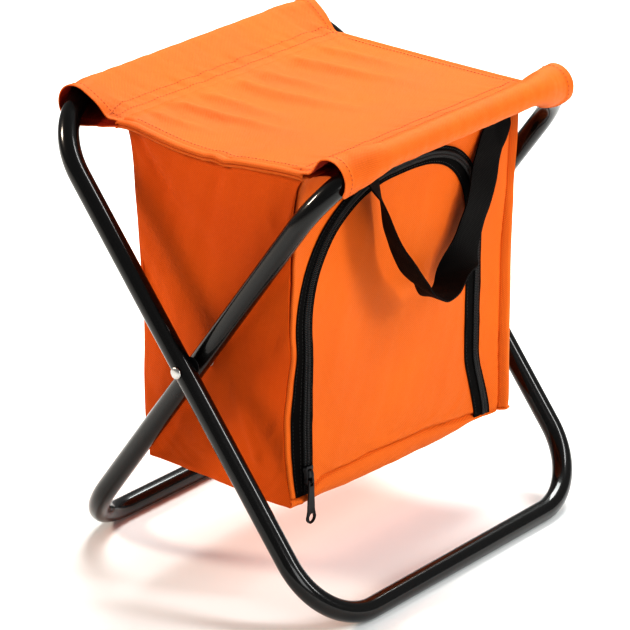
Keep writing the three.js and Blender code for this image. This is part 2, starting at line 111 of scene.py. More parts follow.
middle = (0, 0, 0.2)
area_light("overhead", (-0.4, 1.1, 2.05), middle, (1.1, 1.1), 48, (0.96, 1.0, 0.98))
key = area_light("key", (2.0, 0.93, 0.98), middle, (0.5, 0.5), 12, (0.9, 1.0, 0.96))
key.visible_glossy = False
area_light("fill", (2.3, -1.0, 1.0), middle, (1.0, 1.0), 11)
area_light("strip", (1.75, 0.70, 1.75), middle, (0.4, 1.7), 22)
area_light("side", (-2.1, -1.5, 1.75), middle, (0.6, 0.6), 41, (1.0, 0.86, 0.72))
bpy.context.scene.view_settings.view_transform = "Standard"
bpy.context.scene.view_settings.look = "High Contrast"
world = bpy.data.worlds.new("studio")
world.use_nodes = True
world.node_tree.nodes["Background"].inputs["Color"].default_value = (1, 1, 1, 1)
world.node_tree.nodes["Background"].inputs["Strength"].default_value = 0.25
bpy.context.scene.world = world

# %% [markdown]
# ## Surfaces as grids
# Every sheet of cloth is a grid of points, rows by columns. Neighbouring points make four-sided
# faces. A real sheet has a thickness, so a second grid lies under the first and a rim joins their
# borders. A Solidify modifier could do that, but here the inner side is sometimes a shape of its own.

# %% Helpers for smooth steps and curves
def smooth(start, end, x):
    """The smooth step 3t² - 2t³, where t runs from 0 at the start to 1 at the end."""
    t = np.clip((np.asarray(x, float) - start) / (end - start), 0, 1)
    return t * t * (3 - 2 * t)


def bump(x, centre, width):
    """A bell curve, 1 at its centre: e to the power of minus the square of the distance over the width."""
    return np.exp(-(((x - centre) / width) ** 2))


def rim(distance, width):
    """A quarter circle: 0 at a border, rising steeply at first, and 1 from the width on."""
    t = 1 - np.clip(distance / width, 0, 1)
    return np.sqrt(1 - t * t)


def through(rows, t):
    """A smooth curve through rows of (parameter, values...): on each span the cubic that has the
    values at both ends and, as slopes, the mean slopes of the spans beside them."""
    rows = np.asarray(rows, float)
    knots, values = rows[:, 0], rows[:, 1:]
    slopes = np.gradient(values, knots, axis=0)
    t = np.clip(np.asarray(t, float), knots[0], knots[-1])
    i = np.clip(np.searchsorted(knots, t, side="right") - 1, 0, len(knots) - 2)
    span = knots[i + 1] - knots[i]
    u = ((t - knots[i]) / span)[..., None]
    span = span[..., None]
    curve = values[i] * (1 + 2 * u) * (1 - u) ** 2 + values[i + 1] * u**2 * (3 - 2 * u)
    curve = curve + slopes[i] * span * u * (1 - u) ** 2 - slopes[i + 1] * span * u**2 * (1 - u)
    return curve[..., 0] if values.shape[1] == 1 else curve


def ripple(x, period, seed):
    """An uneven wave between about -1 and 1: three sines whose periods don't fit each other."""
    a = 2 * np.pi * np.asarray(x, float) / period
    return 0.5 * np.sin(a + seed) + 0.3 * np.sin(1.73 * a + 2.1 * seed) + 0.2 * np.sin(3.11 * a + 3.7 * seed)


# %% Helpers for grids and meshes
def box_mm(node):
    """The two corners of a node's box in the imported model, in millimetres."""
    return [np.array(corner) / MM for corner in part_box(node)]


def grid_faces(rows, columns, close_rows=False, close_columns=False):
    """Four corners for each cell of a grid. A closed direction joins its last line to its first."""
    index = np.arange(rows * columns).reshape(rows, columns)
    if close_rows:
        index = np.vstack([index, index[:1]])
    if close_columns:
        index = np.hstack([index, index[:, :1]])
    cells = [index[:-1, :-1], index[:-1, 1:], index[1:, 1:], index[1:, :-1]]
    return np.stack(cells, axis=-1).reshape(-1, 4)


def grid_normals(points, inside):
    """Unit normals of a grid: the cross product of its two directions, turned away from inside."""
    along = np.gradient(points, axis=1)
    across = np.gradient(points, axis=0)
    normal = np.cross(along, across)
    normal /= np.maximum(np.linalg.norm(normal, axis=-1, keepdims=True), 1e-9)
    sign = np.sign(np.sum(normal * (points - inside)))
    return normal * sign


def cloth_lengths(points):
    """The sheet's flat coordinates in metres: lengths along each row and each column, from the middle."""
    step = np.linalg.norm(np.diff(points, axis=1), axis=-1)
    u = np.concatenate([np.zeros((len(points), 1)), np.cumsum(step, axis=1)], axis=1)
    step = np.linalg.norm(np.diff(points, axis=0), axis=-1)
    v = np.concatenate([np.zeros((1, points.shape[1])), np.cumsum(step, axis=0)], axis=0)
    return np.stack([u - u[:, -1:] / 2, v - v[-1:] / 2], axis=-1) * MM


def put_mesh(name, points, faces, material, uv=None, sharp=50):
    """A mesh object at the origin from points in millimetres, faces as lists of point numbers, and
    one pair of flat coordinates for each point. Edges sharper than the angle stay sharp."""
    mesh = bpy.data.meshes.new(name)
    mesh.from_pydata((np.asarray(points).reshape(-1, 3) * MM).tolist(), [], faces)
    mesh.update()
    if uv is not None:
        corners = np.empty(len(mesh.loops), np.int32)
        mesh.loops.foreach_get("vertex_index", corners)
        layer = mesh.uv_layers.new(name="cloth")
        layer.data.foreach_set("uv", np.asarray(uv, np.float32).reshape(-1, 2)[corners].ravel())
    mesh.shade_smooth()
    mesh.set_sharp_from_angle(angle=math.radians(sharp))
    piece = bpy.data.objects.new(name, mesh)
    bpy.context.scene.collection.objects.link(piece)
    piece.data.materials.append(material[0])
    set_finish(piece, material[1])
    return piece


def slab(name, outer, inner, material, uv=None):
    """A closed wall between two grids of one size: the outer grid's faces, the inner grid's turned
    round, and a rim of faces along their borders. It is turned so that the outer side faces out."""
    normal = np.cross(np.gradient(outer, axis=1), np.gradient(outer, axis=0))
    uv = cloth_lengths(outer) if uv is None else uv
    if np.sum(normal * (outer - inner)) < 0:
        outer, inner, uv = outer[:, ::-1], inner[:, ::-1], uv[:, ::-1]
    rows, columns = outer.shape[:2]
    count = rows * columns
    index = np.arange(count).reshape(rows, columns)
    border = np.concatenate([index[0], index[1:, -1], index[-1, -2::-1], index[-2:0:-1, 0]])
    following = np.roll(border, -1)
    front = grid_faces(rows, columns)
    edge = np.stack([following, border, border + count, following + count], axis=-1)
    faces = np.concatenate([front, front[:, ::-1] + count, edge])
    points = np.concatenate([outer.reshape(-1, 3), inner.reshape(-1, 3)])
    uv = np.concatenate([uv.reshape(-1, 2), uv.reshape(-1, 2)])
    return put_mesh(name, points, faces.tolist(), material, uv)


def cloth_sheet(name, points, thickness, inside, material, uv=None):
    """A slab whose inner grid is the outer one moved inwards along its normals."""
    return slab(name, points, points - grid_normals(points, inside) * thickness, material, uv)


# %% [markdown]
# ## Small things repeated many times
# Stitches and zip teeth are one small shape set down hundreds of times. Instances would be lighter,
# but a single mesh keeps each row of stitches one piece, and the shape has only 24 faces.

# %% Helpers for pills and rows
def pill(sides=6):
    """A small capsule along X from -1 to 1 with radius 1: two end points and three rings whose
    radii are 0.72, 1 and 0.72."""
    angle = 2 * np.pi * np.arange(sides) / sides
    circle = np.stack([np.zeros(sides), np.cos(angle), np.sin(angle)], axis=1)
    rings = [circle * r + [x, 0, 0] for x, r in ((-0.8, 0.72), (0, 1), (0.8, 0.72))]
    points = np.concatenate([[[-1, 0, 0]], *rings, [[1, 0, 0]]])
    around = np.arange(sides)
    after = (around + 1) % sides
    last = len(points) - 1
    quads = [np.stack([1 + s * sides + after, 1 + s * sides + around, 1 + (s + 1) * sides + around,
                       1 + (s + 1) * sides + after], axis=1) for s in range(2)]
    first_cap = np.stack([np.zeros(sides, int), 1 + around, 1 + after], axis=1)
    last_cap = np.stack([np.full(sides, last), 1 + 2 * sides + after, 1 + 2 * sides + around], axis=1)
    return points, np.concatenate(quads), np.concatenate([first_cap, last_cap])


def pills(name, centres, along, across, half, material):
    """One capsule at each centre: its X turned along one direction, its Y across, and its Z square to
    both. half gives its half length, half width and half height."""
    points, quads, caps = pill()
    x = along / np.linalg.norm(along, axis=1, keepdims=True)
    z = np.cross(x, across)
    z /= np.linalg.norm(z, axis=1, keepdims=True)
    y = np.cross(z, x)
    shape = points * half
    axes = np.stack([x, y, z], axis=1)
    placed = centres[:, None, :] + np.einsum("pk,nkc->npc", shape, axes)
    shift = (np.arange(len(centres)) * len(points))[:, None, None]
    faces = (quads + shift).reshape(-1, 4).tolist() + (caps + shift).reshape(-1, 3).tolist()
    return put_mesh(name, placed, faces, material, sharp=180)


def evenly_along(path, spacing):
    """Points at even distances along a line of points, and the line's direction at each."""
    length = np.concatenate([[0], np.cumsum(np.linalg.norm(np.diff(path, axis=0), axis=1))])
    count = max(int(length[-1] / spacing), 2)
    place = (np.arange(count) + 0.5) * length[-1] / count
    spots = np.stack([np.interp(place, length, path[:, k]) for k in range(3)], axis=1)
    ahead = np.stack([np.interp(place + 0.5, length, path[:, k]) for k in range(3)], axis=1)
    behind = np.stack([np.interp(place - 0.5, length, path[:, k]) for k in range(3)], axis=1)
    return spots, ahead - behind


def stitch_row(name, path, up, material, spacing=3.3, length=2.0, width=0.7):
    """Threads along a line of points on the cloth, half sunk in it: one capsule for each stitch."""
    spots, along = evenly_along(path, spacing)
    across = np.cross(np.broadcast_to(np.asarray(up, float), along.shape), along)
    return pills(name, spots, along, across, (length / 2, width / 2, width / 2.6), material)


print("a stitch has", len(pill()[0]), "points and", len(pill()[1]) + len(pill()[2]), "faces")

# %% [markdown]
# ## Finishes
# Each effect that several finishes share is a node group with named inputs: the weave, a slow drift
# of the colour, and dust that settles on what faces up. The shader itself stays in each material.
# Pictures of cloth would do too, but noise and waves have no seams and stay sharp from close by.

# %% Helpers for nodes
def feed(tree, node, inputs):
    """Gives each named or numbered socket of a node its value, or joins it to another socket."""
    for key, value in inputs.items():
        if isinstance(value, bpy.types.NodeSocket):
            tree.links.new(value, node.inputs[key])
        else:
            node.inputs[key].default_value = value


def add(tree, kind, inputs=None, **settings):
    """A shader node of this kind, with its settings and its inputs."""
    node = tree.nodes.new("ShaderNode" + kind)
    for key, value in settings.items():
        setattr(node, key, value)
    feed(tree, node, inputs or {})
    return node


def calc(tree, operation, a, b=0.0, clamp=False):
    """One step of arithmetic on the values at each point of the surface."""
    return add(tree, "Math", {0: a, 1: b}, operation=operation, use_clamp=clamp).outputs[0]


def calc_vector(tree, operation, inputs):
    """One step of arithmetic on vectors or colours."""
    return add(tree, "VectorMath", inputs, operation=operation).outputs[0]


def mix(tree, factor, first, second):
    """A colour between two: the first where the factor is 0 and the second where it is 1."""
    inputs = {"Factor": factor, "A": first, "B": second}
    return add(tree, "Mix", inputs, data_type="RGBA").outputs["Result"]


def remap(tree, value, low, high, start=0.0, end=1.0):
    """A value between start and end, moved in proportion to between low and high."""
    inputs = {"Value": value, "From Min": start, "From Max": end, "To Min": low, "To Max": high}
    return add(tree, "MapRange", inputs).outputs[0]


def noise(tree, place, scale, detail=2.0):
    """Soft clouds of values and colours round each place. A larger scale makes them smaller."""
    return add(tree, "TexNoise", {"Vector": place, "Scale": scale, "Detail": detail}).outputs


def new_group(name, inputs, outputs):
    """A node group with named sockets; inputs are name, kind and first value."""
    tree = bpy.data.node_groups.new(name, "ShaderNodeTree")
    for label, kind, value in inputs:
        socket = tree.interface.new_socket(name=label, in_out="INPUT", socket_type=kind)
        if value is not None:
            socket.default_value = value
    for label, kind in outputs:
        tree.interface.new_socket(name=label, in_out="OUTPUT", socket_type=kind)
    start = tree.nodes.new("NodeGroupInput").outputs
    end = tree.nodes.new("NodeGroupOutput")
    return tree, start, end


def placed(tree, group, inputs):
    """The outputs of a node group that is set down in a material with its own values."""
    return add(tree, "Group", inputs, node_tree=group).outputs


FLOAT, COLOUR, VECTOR = "NodeSocketFloat", "NodeSocketColor", "NodeSocketVector"

# %% The weave of the cloth
# Two sines at right angles multiply to a field of small cushions, as the crossings of threads look.
# A little noise bends the threads, so the pattern never lines up with the pixels.
weave, start, end = new_group(
    "oxford_weave",
    [("Flat", VECTOR, None), ("Threads per metre", FLOAT, 1250.0), ("Bend", FLOAT, 0.00022)],
    [("Height", FLOAT), ("Shade", FLOAT)],
)
cloud = noise(weave, start["Flat"], 260.0, 1.0)["Color"]
offset = calc_vector(weave, "SUBTRACT", {0: cloud, 1: (0.5, 0.5, 0.5)})
moved = calc_vector(weave, "SCALE", {0: offset, "Scale": start["Bend"]})
bent = calc_vector(weave, "ADD", {0: start["Flat"], 1: moved})
split = add(weave, "SeparateXYZ", {0: bent}).outputs
pitch = calc(weave, "MULTIPLY", start["Threads per metre"], math.pi)
warp = calc(weave, "SINE", calc(weave, "MULTIPLY", split["X"], pitch))
weft = calc(weave, "SINE", calc(weave, "MULTIPLY", split["Y"], pitch))
cushions = calc(weave, "MULTIPLY", warp, weft)
height = calc(weave, "ADD", calc(weave, "MULTIPLY", cushions, 0.5), 0.5)
gap = calc(weave, "MINIMUM", calc(weave, "ABSOLUTE", warp), calc(weave, "ABSOLUTE", weft))
shade = calc(weave, "ADD", calc(weave, "MULTIPLY", cushions, 0.3), calc(weave, "MULTIPLY", gap, 0.7))
feed(weave, end, {"Height": height, "Shade": calc(weave, "MULTIPLY", shade, 1.0, clamp=True)})

# %% A slow drift of the colour, and dust
drift, start, end = new_group(
    "colour_drift",
    [("Place", VECTOR, None), ("Size", FLOAT, 9.0), ("Light", COLOUR, (1, 1, 1, 1)),
     ("Dark", COLOUR, (0, 0, 0, 1))],
    [("Colour", COLOUR), ("Mask", FLOAT)],
)
mask = remap(drift, noise(drift, start["Place"], start["Size"], 5.0)["Fac"], 0.0, 1.0, 0.3, 0.7)
feed(drift, end, {"Colour": mix(drift, mask, start["Dark"], start["Light"]), "Mask": mask})

dust, start, end = new_group(
    "settled_dust", [("Place", VECTOR, None), ("Amount", FLOAT, 0.1)], [("Mask", FLOAT)]
)
facing = add(dust, "NewGeometry").outputs["Normal"]
upward = calc(dust, "MAXIMUM", add(dust, "SeparateXYZ", {0: facing}).outputs["Z"], 0.0)
lying = calc(dust, "MULTIPLY", upward, noise(dust, start["Place"], 55.0, 6.0)["Fac"])
feed(dust, end, {"Mask": calc(dust, "MULTIPLY", lying, start["Amount"], clamp=True)})
DUST = 0.012
CLOTH_DUST, HARD_DUST = (0.6, 0.55, 0.5, 1), (0.35, 0.34, 0.33, 1)


# %% Helpers for materials
def new_material(name, slot):
    """A material with its shader, and the record's slot that it belongs to."""
    material = bpy.data.materials.new(name)
    material.use_nodes = True
    tree = material.node_tree
    return (material, slot), tree, tree.nodes["Principled BSDF"]


def relief(tree, shader, height, depth, strength=1.0):
    """A bump of a depth in metres, laid on the bump that the shader already has, if any."""
    inputs = {"Height": height, "Distance": depth, "Strength": strength}
    if shader.inputs["Normal"].is_linked:
        inputs["Normal"] = shader.inputs["Normal"].links[0].from_socket
    feed(tree, shader, {"Normal": add(tree, "Bump", inputs).outputs["Normal"]})


def woven(name, slot, light, dark, threads, roughness, depth, sheen, tint=(1, 1, 1), shine=0.22):
    """Cloth or webbing: the weave shades and lifts the threads, the drift varies the colour, and a
    finer noise lets the surface buckle a little between the threads."""
    pair, tree, shader = new_material(name, slot)
    place = add(tree, "TexCoord").outputs
    flat = placed(tree, weave, {"Flat": place["UV"], "Threads per metre": threads})
    colours = {"Place": place["Object"], "Size": 9.0, "Light": (*light, 1), "Dark": (*dark, 1)}
    colour = placed(tree, drift, colours)
    fall = remap(tree, flat["Shade"], 0.66, 1.12)
    shaded = calc_vector(tree, "SCALE", {0: colour["Colour"], "Scale": fall})
    film = placed(tree, dust, {"Place": place["Object"], "Amount": DUST})["Mask"]
    feed(tree, shader, {
        "Base Color": mix(tree, film, shaded, CLOTH_DUST),
        "Roughness": remap(tree, colour["Mask"], roughness - 0.06, roughness + 0.08),
        "Sheen Weight": sheen, "Sheen Roughness": 0.45, "Sheen Tint": (*tint, 1),
        "Specular IOR Level": shine,
    })
    relief(tree, shader, noise(tree, place["Object"], 130.0, 3.0)["Fac"], 0.0004)
    relief(tree, shader, flat["Height"], depth)
    return pair


# %% [markdown]
# ## The cloths
# The stool's cloth is a coated polyester oxford in a strong orange. Its threads are thick enough to
# show as a fine diagonal grain. The tapes and the strap are black, tighter and a little shiny.

# %% Orange cloth, black tape and webbing
orange = woven("orange_cloth", "orange_cloth", (0.80, 0.178, 0.015), (0.72, 0.145, 0.011),
               1250.0, 0.62, 0.00022, 0.06, tint=(1.0, 0.6, 0.3), shine=0.26)
# A darker, redder copy of the orange for the side walls, the back and the bottom: painted shade.
orange_walls_painted_shade = woven("orange_cloth_painted_shade", "orange_cloth", (0.80, 0.142, 0.0085), (0.72, 0.112, 0.006),
                    1250.0, 0.66, 0.00022, 0.03, tint=(1.0, 0.4, 0.15), shine=0.16)
# A darker, redder copy of the orange cloth for the sleeves' inner faces: painted shade.
painted_shade_inside = woven("orange_painted_shade_inside", "orange_cloth", (0.50, 0.035, 0.006), (0.40, 0.026, 0.004),
               1250.0, 0.7, 0.0002, 0.0)
tape_black = woven("zip_tape", "zip_tape", (0.0050, 0.0040, 0.0036), (0.0034, 0.0028, 0.0026),
                   1800.0, 0.75, 0.0001, 0.01, shine=0.10)
web_black = woven("webbing", "webbing", (0.0060, 0.0046, 0.0041), (0.0042, 0.0034, 0.0031),
                  900.0, 0.7, 0.0003, 0.015, shine=0.12)


def thread(name, slot, colour):
    """Sewing thread: a plain colour with fine slanted ridges, as two twisted yarns have."""
    pair, tree, shader = new_material(name, slot)
    inputs = {"Vector": add(tree, "TexCoord").outputs["Object"], "Scale": 900.0, "Distortion": 2.0}
    ridges = add(tree, "TexWave", inputs, bands_direction="DIAGONAL").outputs["Fac"]
    # The grooves between the ridges get a darker colour: painted shade.
    dim = tuple(0.62 * c for c in colour)
    feed(tree, shader, {"Base Color": mix(tree, ridges, (*dim, 1), (*colour, 1)), "Roughness": 0.5})
    relief(tree, shader, ridges, 0.0001)
    return pair


# Darker than the cloth, to stand for the small shadows round each stitch: painted shade.
orange_thread_painted_shade = thread("orange_thread_painted_shade", "orange_cloth", (0.44, 0.062, 0.006))
black_thread = thread("black_thread", "zip_tape", (0.03, 0.028, 0.027))

# %% [markdown]
# ## Metal, paint and plastic
# The tubes are dipped in gloss black: a clear coat over a dark base, with a slight orange peel that
# makes the long reflections waver. Rivets and zip metal are bare, so their wear shows as small
# changes of roughness.

# %% Paint, metals and plastic
def hard(name, colour, metal, roughness, peel, peel_scale, spread=0.08, coat=0.0, worn=None, shine=0.5):
    """A hard finish: roughness that drifts, a fine relief, and where worn is given a second colour
    in small spots. The record's slot has the finish's name."""
    pair, tree, shader = new_material(name, name)
    place = add(tree, "TexCoord").outputs["Object"]
    dark = worn or tuple(0.8 * c for c in colour)
    colours = {"Place": place, "Size": 38.0, "Light": (*colour, 1), "Dark": (*dark, 1)}
    base = placed(tree, drift, colours)["Colour"]
    film = placed(tree, dust, {"Place": place, "Amount": DUST if metal < 0.5 else 0.0})["Mask"]
    cloud = noise(tree, place, 210.0, 4.0)["Fac"]
    feed(tree, shader, {
        "Base Color": mix(tree, film, base, HARD_DUST),
        "Roughness": remap(tree, cloud, max(roughness - spread, 0.02), roughness + spread),
        "Metallic": metal, "Specular IOR Level": shine, "Coat Weight": coat, "Coat Roughness": 0.06,
    })
    relief(tree, shader, noise(tree, place, peel_scale)["Fac"], peel, 0.6)
    return pair


BARE, COVERED = 1.0, 0.0
paint = hard("frame_paint", (0.0040, 0.0037, 0.0035), COVERED, 0.26, 0.000008, 40.0,
             spread=0.03, coat=0.6, shine=0.25)
zinc = hard("zinc_steel", (0.62, 0.62, 0.60), BARE, 0.30, 0.00008, 420.0, worn=(0.45, 0.45, 0.44))
plain_steel = hard("plain_steel", (0.42, 0.43, 0.45), BARE, 0.34, 0.00006, 300.0)
nylon = hard("nylon", (0.02, 0.02, 0.021), COVERED, 0.46, 0.00008, 500.0)
zip_metal = hard("zip_metal", (0.022, 0.022, 0.023), BARE, 0.32, 0.00006, 500.0,
                 worn=(0.05, 0.05, 0.052))
zip_nylon = hard("zip_coil", (0.014, 0.0135, 0.0135), COVERED, 0.34, 0.00003, 600.0, coat=0.1)


# %% [markdown]
# ## Inside the bag
# The walls hold white polyethylene foam with small closed cells, covered with crinkled silver foil.
# Both are cells of a Voronoi pattern: shaded ones in the foam, and creased borders on the foil.

# %% Foam and foil
foam, tree, shader = new_material("insulating_foam", "insulating_foam")
place = add(tree, "TexCoord").outputs["Object"]
cells = add(tree, "TexVoronoi", {"Vector": place, "Scale": 620.0}).outputs["Distance"]
tone = mix(tree, cells, (0.86, 0.85, 0.81, 1), (0.62, 0.61, 0.58, 1))
feed(tree, shader, {"Base Color": tone, "Roughness": 0.8, "Subsurface Weight": 0.1})
relief(tree, shader, cells, 0.0004)

foil, tree, shader = new_material("foil_liner", "foil_liner")
place = add(tree, "TexCoord").outputs["Object"]
inputs = {"Vector": place, "Scale": 95.0}
flakes = add(tree, "TexVoronoi", inputs, feature="DISTANCE_TO_EDGE").outputs["Distance"]
fine = noise(tree, place, 160.0, 5.0)["Fac"]
tone = mix(tree, fine, (0.52, 0.53, 0.54, 1), (0.78, 0.78, 0.78, 1))
feed(tree, shader, {"Base Color": tone, "Roughness": remap(tree, fine, 0.22, 0.42), "Metallic": 1.0})
relief(tree, shader, flakes, 0.0012, 0.7)
relief(tree, shader, fine, 0.0006, 0.5)
print("materials:", sorted(m.name for m in bpy.data.materials))

# %% [markdown]
# ## The bent tubes
# Each frame is one steel tube, bent into a rounded rectangle that leans across the pivot. A curve
# with a bevel would make it, but a circle carried along the path gives clean quads whose normals
# stay smooth in the gloss paint.

# %% The two loops of tube
TUBE = 8.0
BEND = 56.0
PIVOT = 178.0
RAIL_RISE = 170.0
FRAMES = {  # body: side of its top rail, reach of the rail, half its width
    "outer_frame": (-1, 130.0, 160.5),
    "inner_frame": (1, 124.0, 143.0),
}


def loop_path(side, reach, half_width, steps=22, straight=9):
    """Points round a rounded rectangle that leans: across is along Y, up is along the leg. Each
    corner is a quarter circle, and the straight sides are points at even distances. Returns the
    points, the outward direction at each, and the direction square to the loop's plane."""
    half_length = math.hypot(reach, RAIL_RISE)
    w, h = half_width - BEND, half_length - BEND
    corners = []
    for a, b, first in ((w, h, 90), (w, -h, 0), (-w, -h, -90), (-w, h, -180)):
        angle = np.radians(first - 90 * np.linspace(0, 1, steps))
        corners.append(np.stack([a + BEND * np.cos(angle), b + BEND * np.sin(angle), angle], axis=1))
    share = np.linspace(0, 1, straight + 2)[1:-1, None]
    line = []
    for corner, following in zip(corners, corners[1:] + corners[:1]):
        run = corner[-1] + (following[0] - corner[-1]) * share
        run[:, 2] = corner[-1, 2]
        line += [corner, run]
    across, up, angles = np.concatenate(line).T
    slope = math.atan2(reach, RAIL_RISE)
    leg = np.array([side * math.sin(slope), 0, math.cos(slope)])
    sideways = np.array([0, 1.0, 0])
    centre = np.array([0, 0, PIVOT]) + across[:, None] * sideways + up[:, None] * leg
    outward = np.cos(angles)[:, None] * sideways + np.sin(angles)[:, None] * leg
    return centre, outward, np.cross(sideways, leg)


def frame_tube(body, sides=48):
    """A circle of points at every place on the path, spanned by the outward direction and the
    direction square to the loop's plane, and joined end to end."""
    centre, outward, square = loop_path(*FRAMES[body])
    turn = 2 * np.pi * np.arange(sides)[:, None] / sides
    points = centre[:, None] + TUBE * (np.cos(turn) * outward[:, None] + np.sin(turn) * square)
    faces = grid_faces(*points.shape[:2], close_rows=True, close_columns=True)
    normal = np.cross(points[0, 1] - points[0, 0], points[1, 0] - points[0, 0])
    if normal @ (points[0, 0] - centre[0]) < 0:
        faces = faces[:, ::-1]
    return put_mesh(body + "_paint", points, faces.tolist(), paint)


for body in FRAMES:
    tube = frame_tube(body)
    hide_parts(body + "_tube")
    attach(tube, body)
    print(tube.name, "has", len(tube.data.vertices), "points")

# %% [markdown]
# ## The rivets
# A zinc rivet goes through both legs on each side, with a thin spacer between them and a washer
# under its tail. Each is a profile turned about the pivot, as a lathe would make it.

# %% Turned pieces at the pivot
def turned(name, profile, material, sides=40):
    """A profile of (radius, place along Y) turned about the pivot's line. A radius of nearly zero
    closes a pole, and equal ends make a closed ring. The sum over the faces of area times depth
    along the normal, three times the volume, is below zero where the mesh is inside out."""
    profile = np.asarray(profile, float)
    ring = np.allclose(profile[0], profile[-1])
    profile = profile[:-1] if ring else profile
    turn = 2 * np.pi * np.arange(sides) / sides
    r, y = profile[:, 0, None], profile[:, 1, None] + 0 * turn
    points = np.stack([r * np.cos(turn), y, r * np.sin(turn) + PIVOT], axis=-1)
    faces = grid_faces(len(profile), sides, close_rows=ring, close_columns=True).tolist()
    if not ring:
        pole = np.arange(sides)
        faces += [pole[::-1].tolist(), (pole + (len(profile) - 1) * sides).tolist()]
    piece = put_mesh(name, points, faces, material, sharp=40)
    mesh = piece.data
    first = Vector((0, profile[0, 1], PIVOT)) * MM
    depths = [(mesh.vertices[p.vertices[0]].co - first).dot(p.normal) * p.area for p in mesh.polygons]
    if sum(depths) < 0:
        mesh.flip_normals()
    return piece


HEAD, DOME, TAIL, BEAD, SHANK = 4.6, 2.2, 3.8, 0.9, 2.5


def rivet(name, head_face, tail_face, side):
    """From the head's low dome inwards: the dome is an arc, its rim is rounded, the shank is straight
    and the tail is a flattened bead. side is -1 on the near side."""
    arc = np.linspace(0.02, 1.5, 12)
    dome = [(HEAD * math.sin(a), head_face - side * DOME * (1 - math.cos(a)) * 0.78) for a in arc]
    under_head = head_face - side * DOME
    rest = [(4.62, head_face - side * 1.95), (4.45, under_head), (SHANK, under_head)]
    on_tail = tail_face + side * 1.4
    tail = [(SHANK, on_tail), (3.7, on_tail), (TAIL, tail_face + side * BEAD)]
    arc = np.linspace(0.2, 1.5, 8)
    tail += [(TAIL * math.cos(a), tail_face + side * BEAD * (1 - math.sin(a))) for a in arc]
    return turned(name, dome + rest + tail, zinc)


def washer(node, material):
    """A flat ring with small bevelled corners that fills its node's box."""
    low, high = box_mm(node)
    outer, hole, r = (high[0] - low[0]) / 2, 2.8, 0.25
    y0, y1 = low[1], high[1]
    profile = [(hole, y0), (outer - r, y0), (outer, y0 + r), (outer, y1 - r), (outer - r, y1)]
    return turned(node + "_turned", profile + [(hole, y1), (hole, y0)], material)


for place, side in (("near", -1), ("far", 1)):
    low, high = box_mm("pivot_rivet_" + place)
    faces = sorted((low[1], high[1]), key=abs)
    pieces = {"pivot_rivet_" + place: rivet("rivet_" + place, faces[1], faces[0], side)}
    for node, material in (("pivot_spacer_" + place, nylon), ("rivet_washer_" + place, zinc)):
        pieces[node] = washer(node, material)
    for node, piece in pieces.items():
        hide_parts(node)
        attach(piece, "outer_frame")
    print("rivet", place, "from", round(faces[1], 1), "to", round(faces[0], 1), "mm")


def finish_node(node, material):
    """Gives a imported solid, which stays as it is, one of the finishes."""
    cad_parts[node].data.materials.clear()
    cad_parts[node].data.materials.append(material[0])


for node in ("outer_frame_splice", "inner_frame_splice"):
    finish_node(node, plain_steel)

# %% [markdown]
# ## The bag as one bent box
# The bag is a box on the drawing, but cloth over foam swells, sags and leans. Modelling six plates
# would leave open corners. Instead each side of the box has a formula for how far it stands out,
# and one function moves any point of the plain box to its place in the sagging one. Walls, foam and
# foil all go through it, so they stay in their order and meet at the corners.

# %% Where each side of the bag stands
DEPTH, WIDTH, LOW, HIGH = 74.0, 130.0, 79.0, 337.5  # half depth, half width, bottom and top
SEAM_X = 84.0  # where the sleeves are sewn to the seat
CLOTH = 1.1
NEAR_FRONT = [(78, 71), (95, 67.5), (130, 65), (170, 67), (210, 70.2), (240, 71.4), (269, 72.4),
              (305, 74.2), (338, 81)]  # height and x along an upright edge
NEAR_REAR = [(78, -64), (95, -67), (110, -68.5), (182, -68.5), (259, -72.5), (289, -75), (326, -79),
             (338, -82)]
FAR_FRONT = [(78, 79.5), (162, 79), (219, 79), (251, 80.5), (272, 82.5), (300, 84), (338, 84)]
SEAT_NEAR = [(-84, 340.6), (-76, 341.2), (-58, 338.6), (-34, 335.0), (-8, 333.3), (14, 333.9),
             (38, 336), (62, 338), (84, 339)]  # x and height along the seat
SEAT_MIDDLE = [(-84, 339.6), (-66, 337.6), (-36, 335.4), (-4, 334.4), (30, 335), (62, 337), (84, 338.8)]
SEAT_FAR = [(-84, 340.2), (-30, 339.3), (27, 338.4), (84, 337.8)]
SEAT_FOLDS = [  # where each long fold starts along Y, how it drifts, its height, width and reach
    (-104, 0.16, 2.4, 5.5, 70), (-78, 0.22, 3.9, 6.5, 120), (-46, 0.12, 3.0, 7.0, 96),
    (-12, 0.2, 3.8, 8.0, 140), (22, 0.1, 2.7, 6.5, 90), (58, 0.16, 3.6, 7.5, 135),
    (92, 0.08, 2.6, 6.5, 110),
]
BOTTOM_FRONT = [(-130, 77.5), (-102, 77.2), (-50, 74), (0, 72), (50, 70.6), (92, 72), (130, 72.5)]


def seat_height(x, y):
    """The seat's upper face: three profiles along X, for the near edge, the middle and the far edge,
    mixed along Y by smooth steps, plus long bell-shaped folds and a kink at the near edge."""
    near, far = smooth(10, -130, y), smooth(-10, 130, y)
    z = through(SEAT_NEAR, x) * near + through(SEAT_FAR, x) * far
    z = z + through(SEAT_MIDDLE, x) * (1 - near - far)
    away = x + SEAM_X
    for start_y, slope, height, width, reach in SEAT_FOLDS:
        line = start_y + slope * away + 2 * ripple(away, 90, start_y)
        fade = smooth(0, 20, away) * smooth(reach, 0.3 * reach, away)
        z = z + height * bump(y, line, width) * fade
    z = z + 0.55 * ripple(y + 0.3 * x, 34, 1.3) * bump(x, -SEAM_X, 30)
    z = z + 0.5 * ripple(y - 0.2 * x, 30, 4.1) * bump(x, SEAM_X, 22)
    kink = 1.1 * bump(x - 0.25 * (y + 130), 4, 5.5) * smooth(-96, -130, y)
    return z + kink - 0.8 * bump(x - 0.35 * (y + 130), 15, 6) * smooth(-92, -130, y)


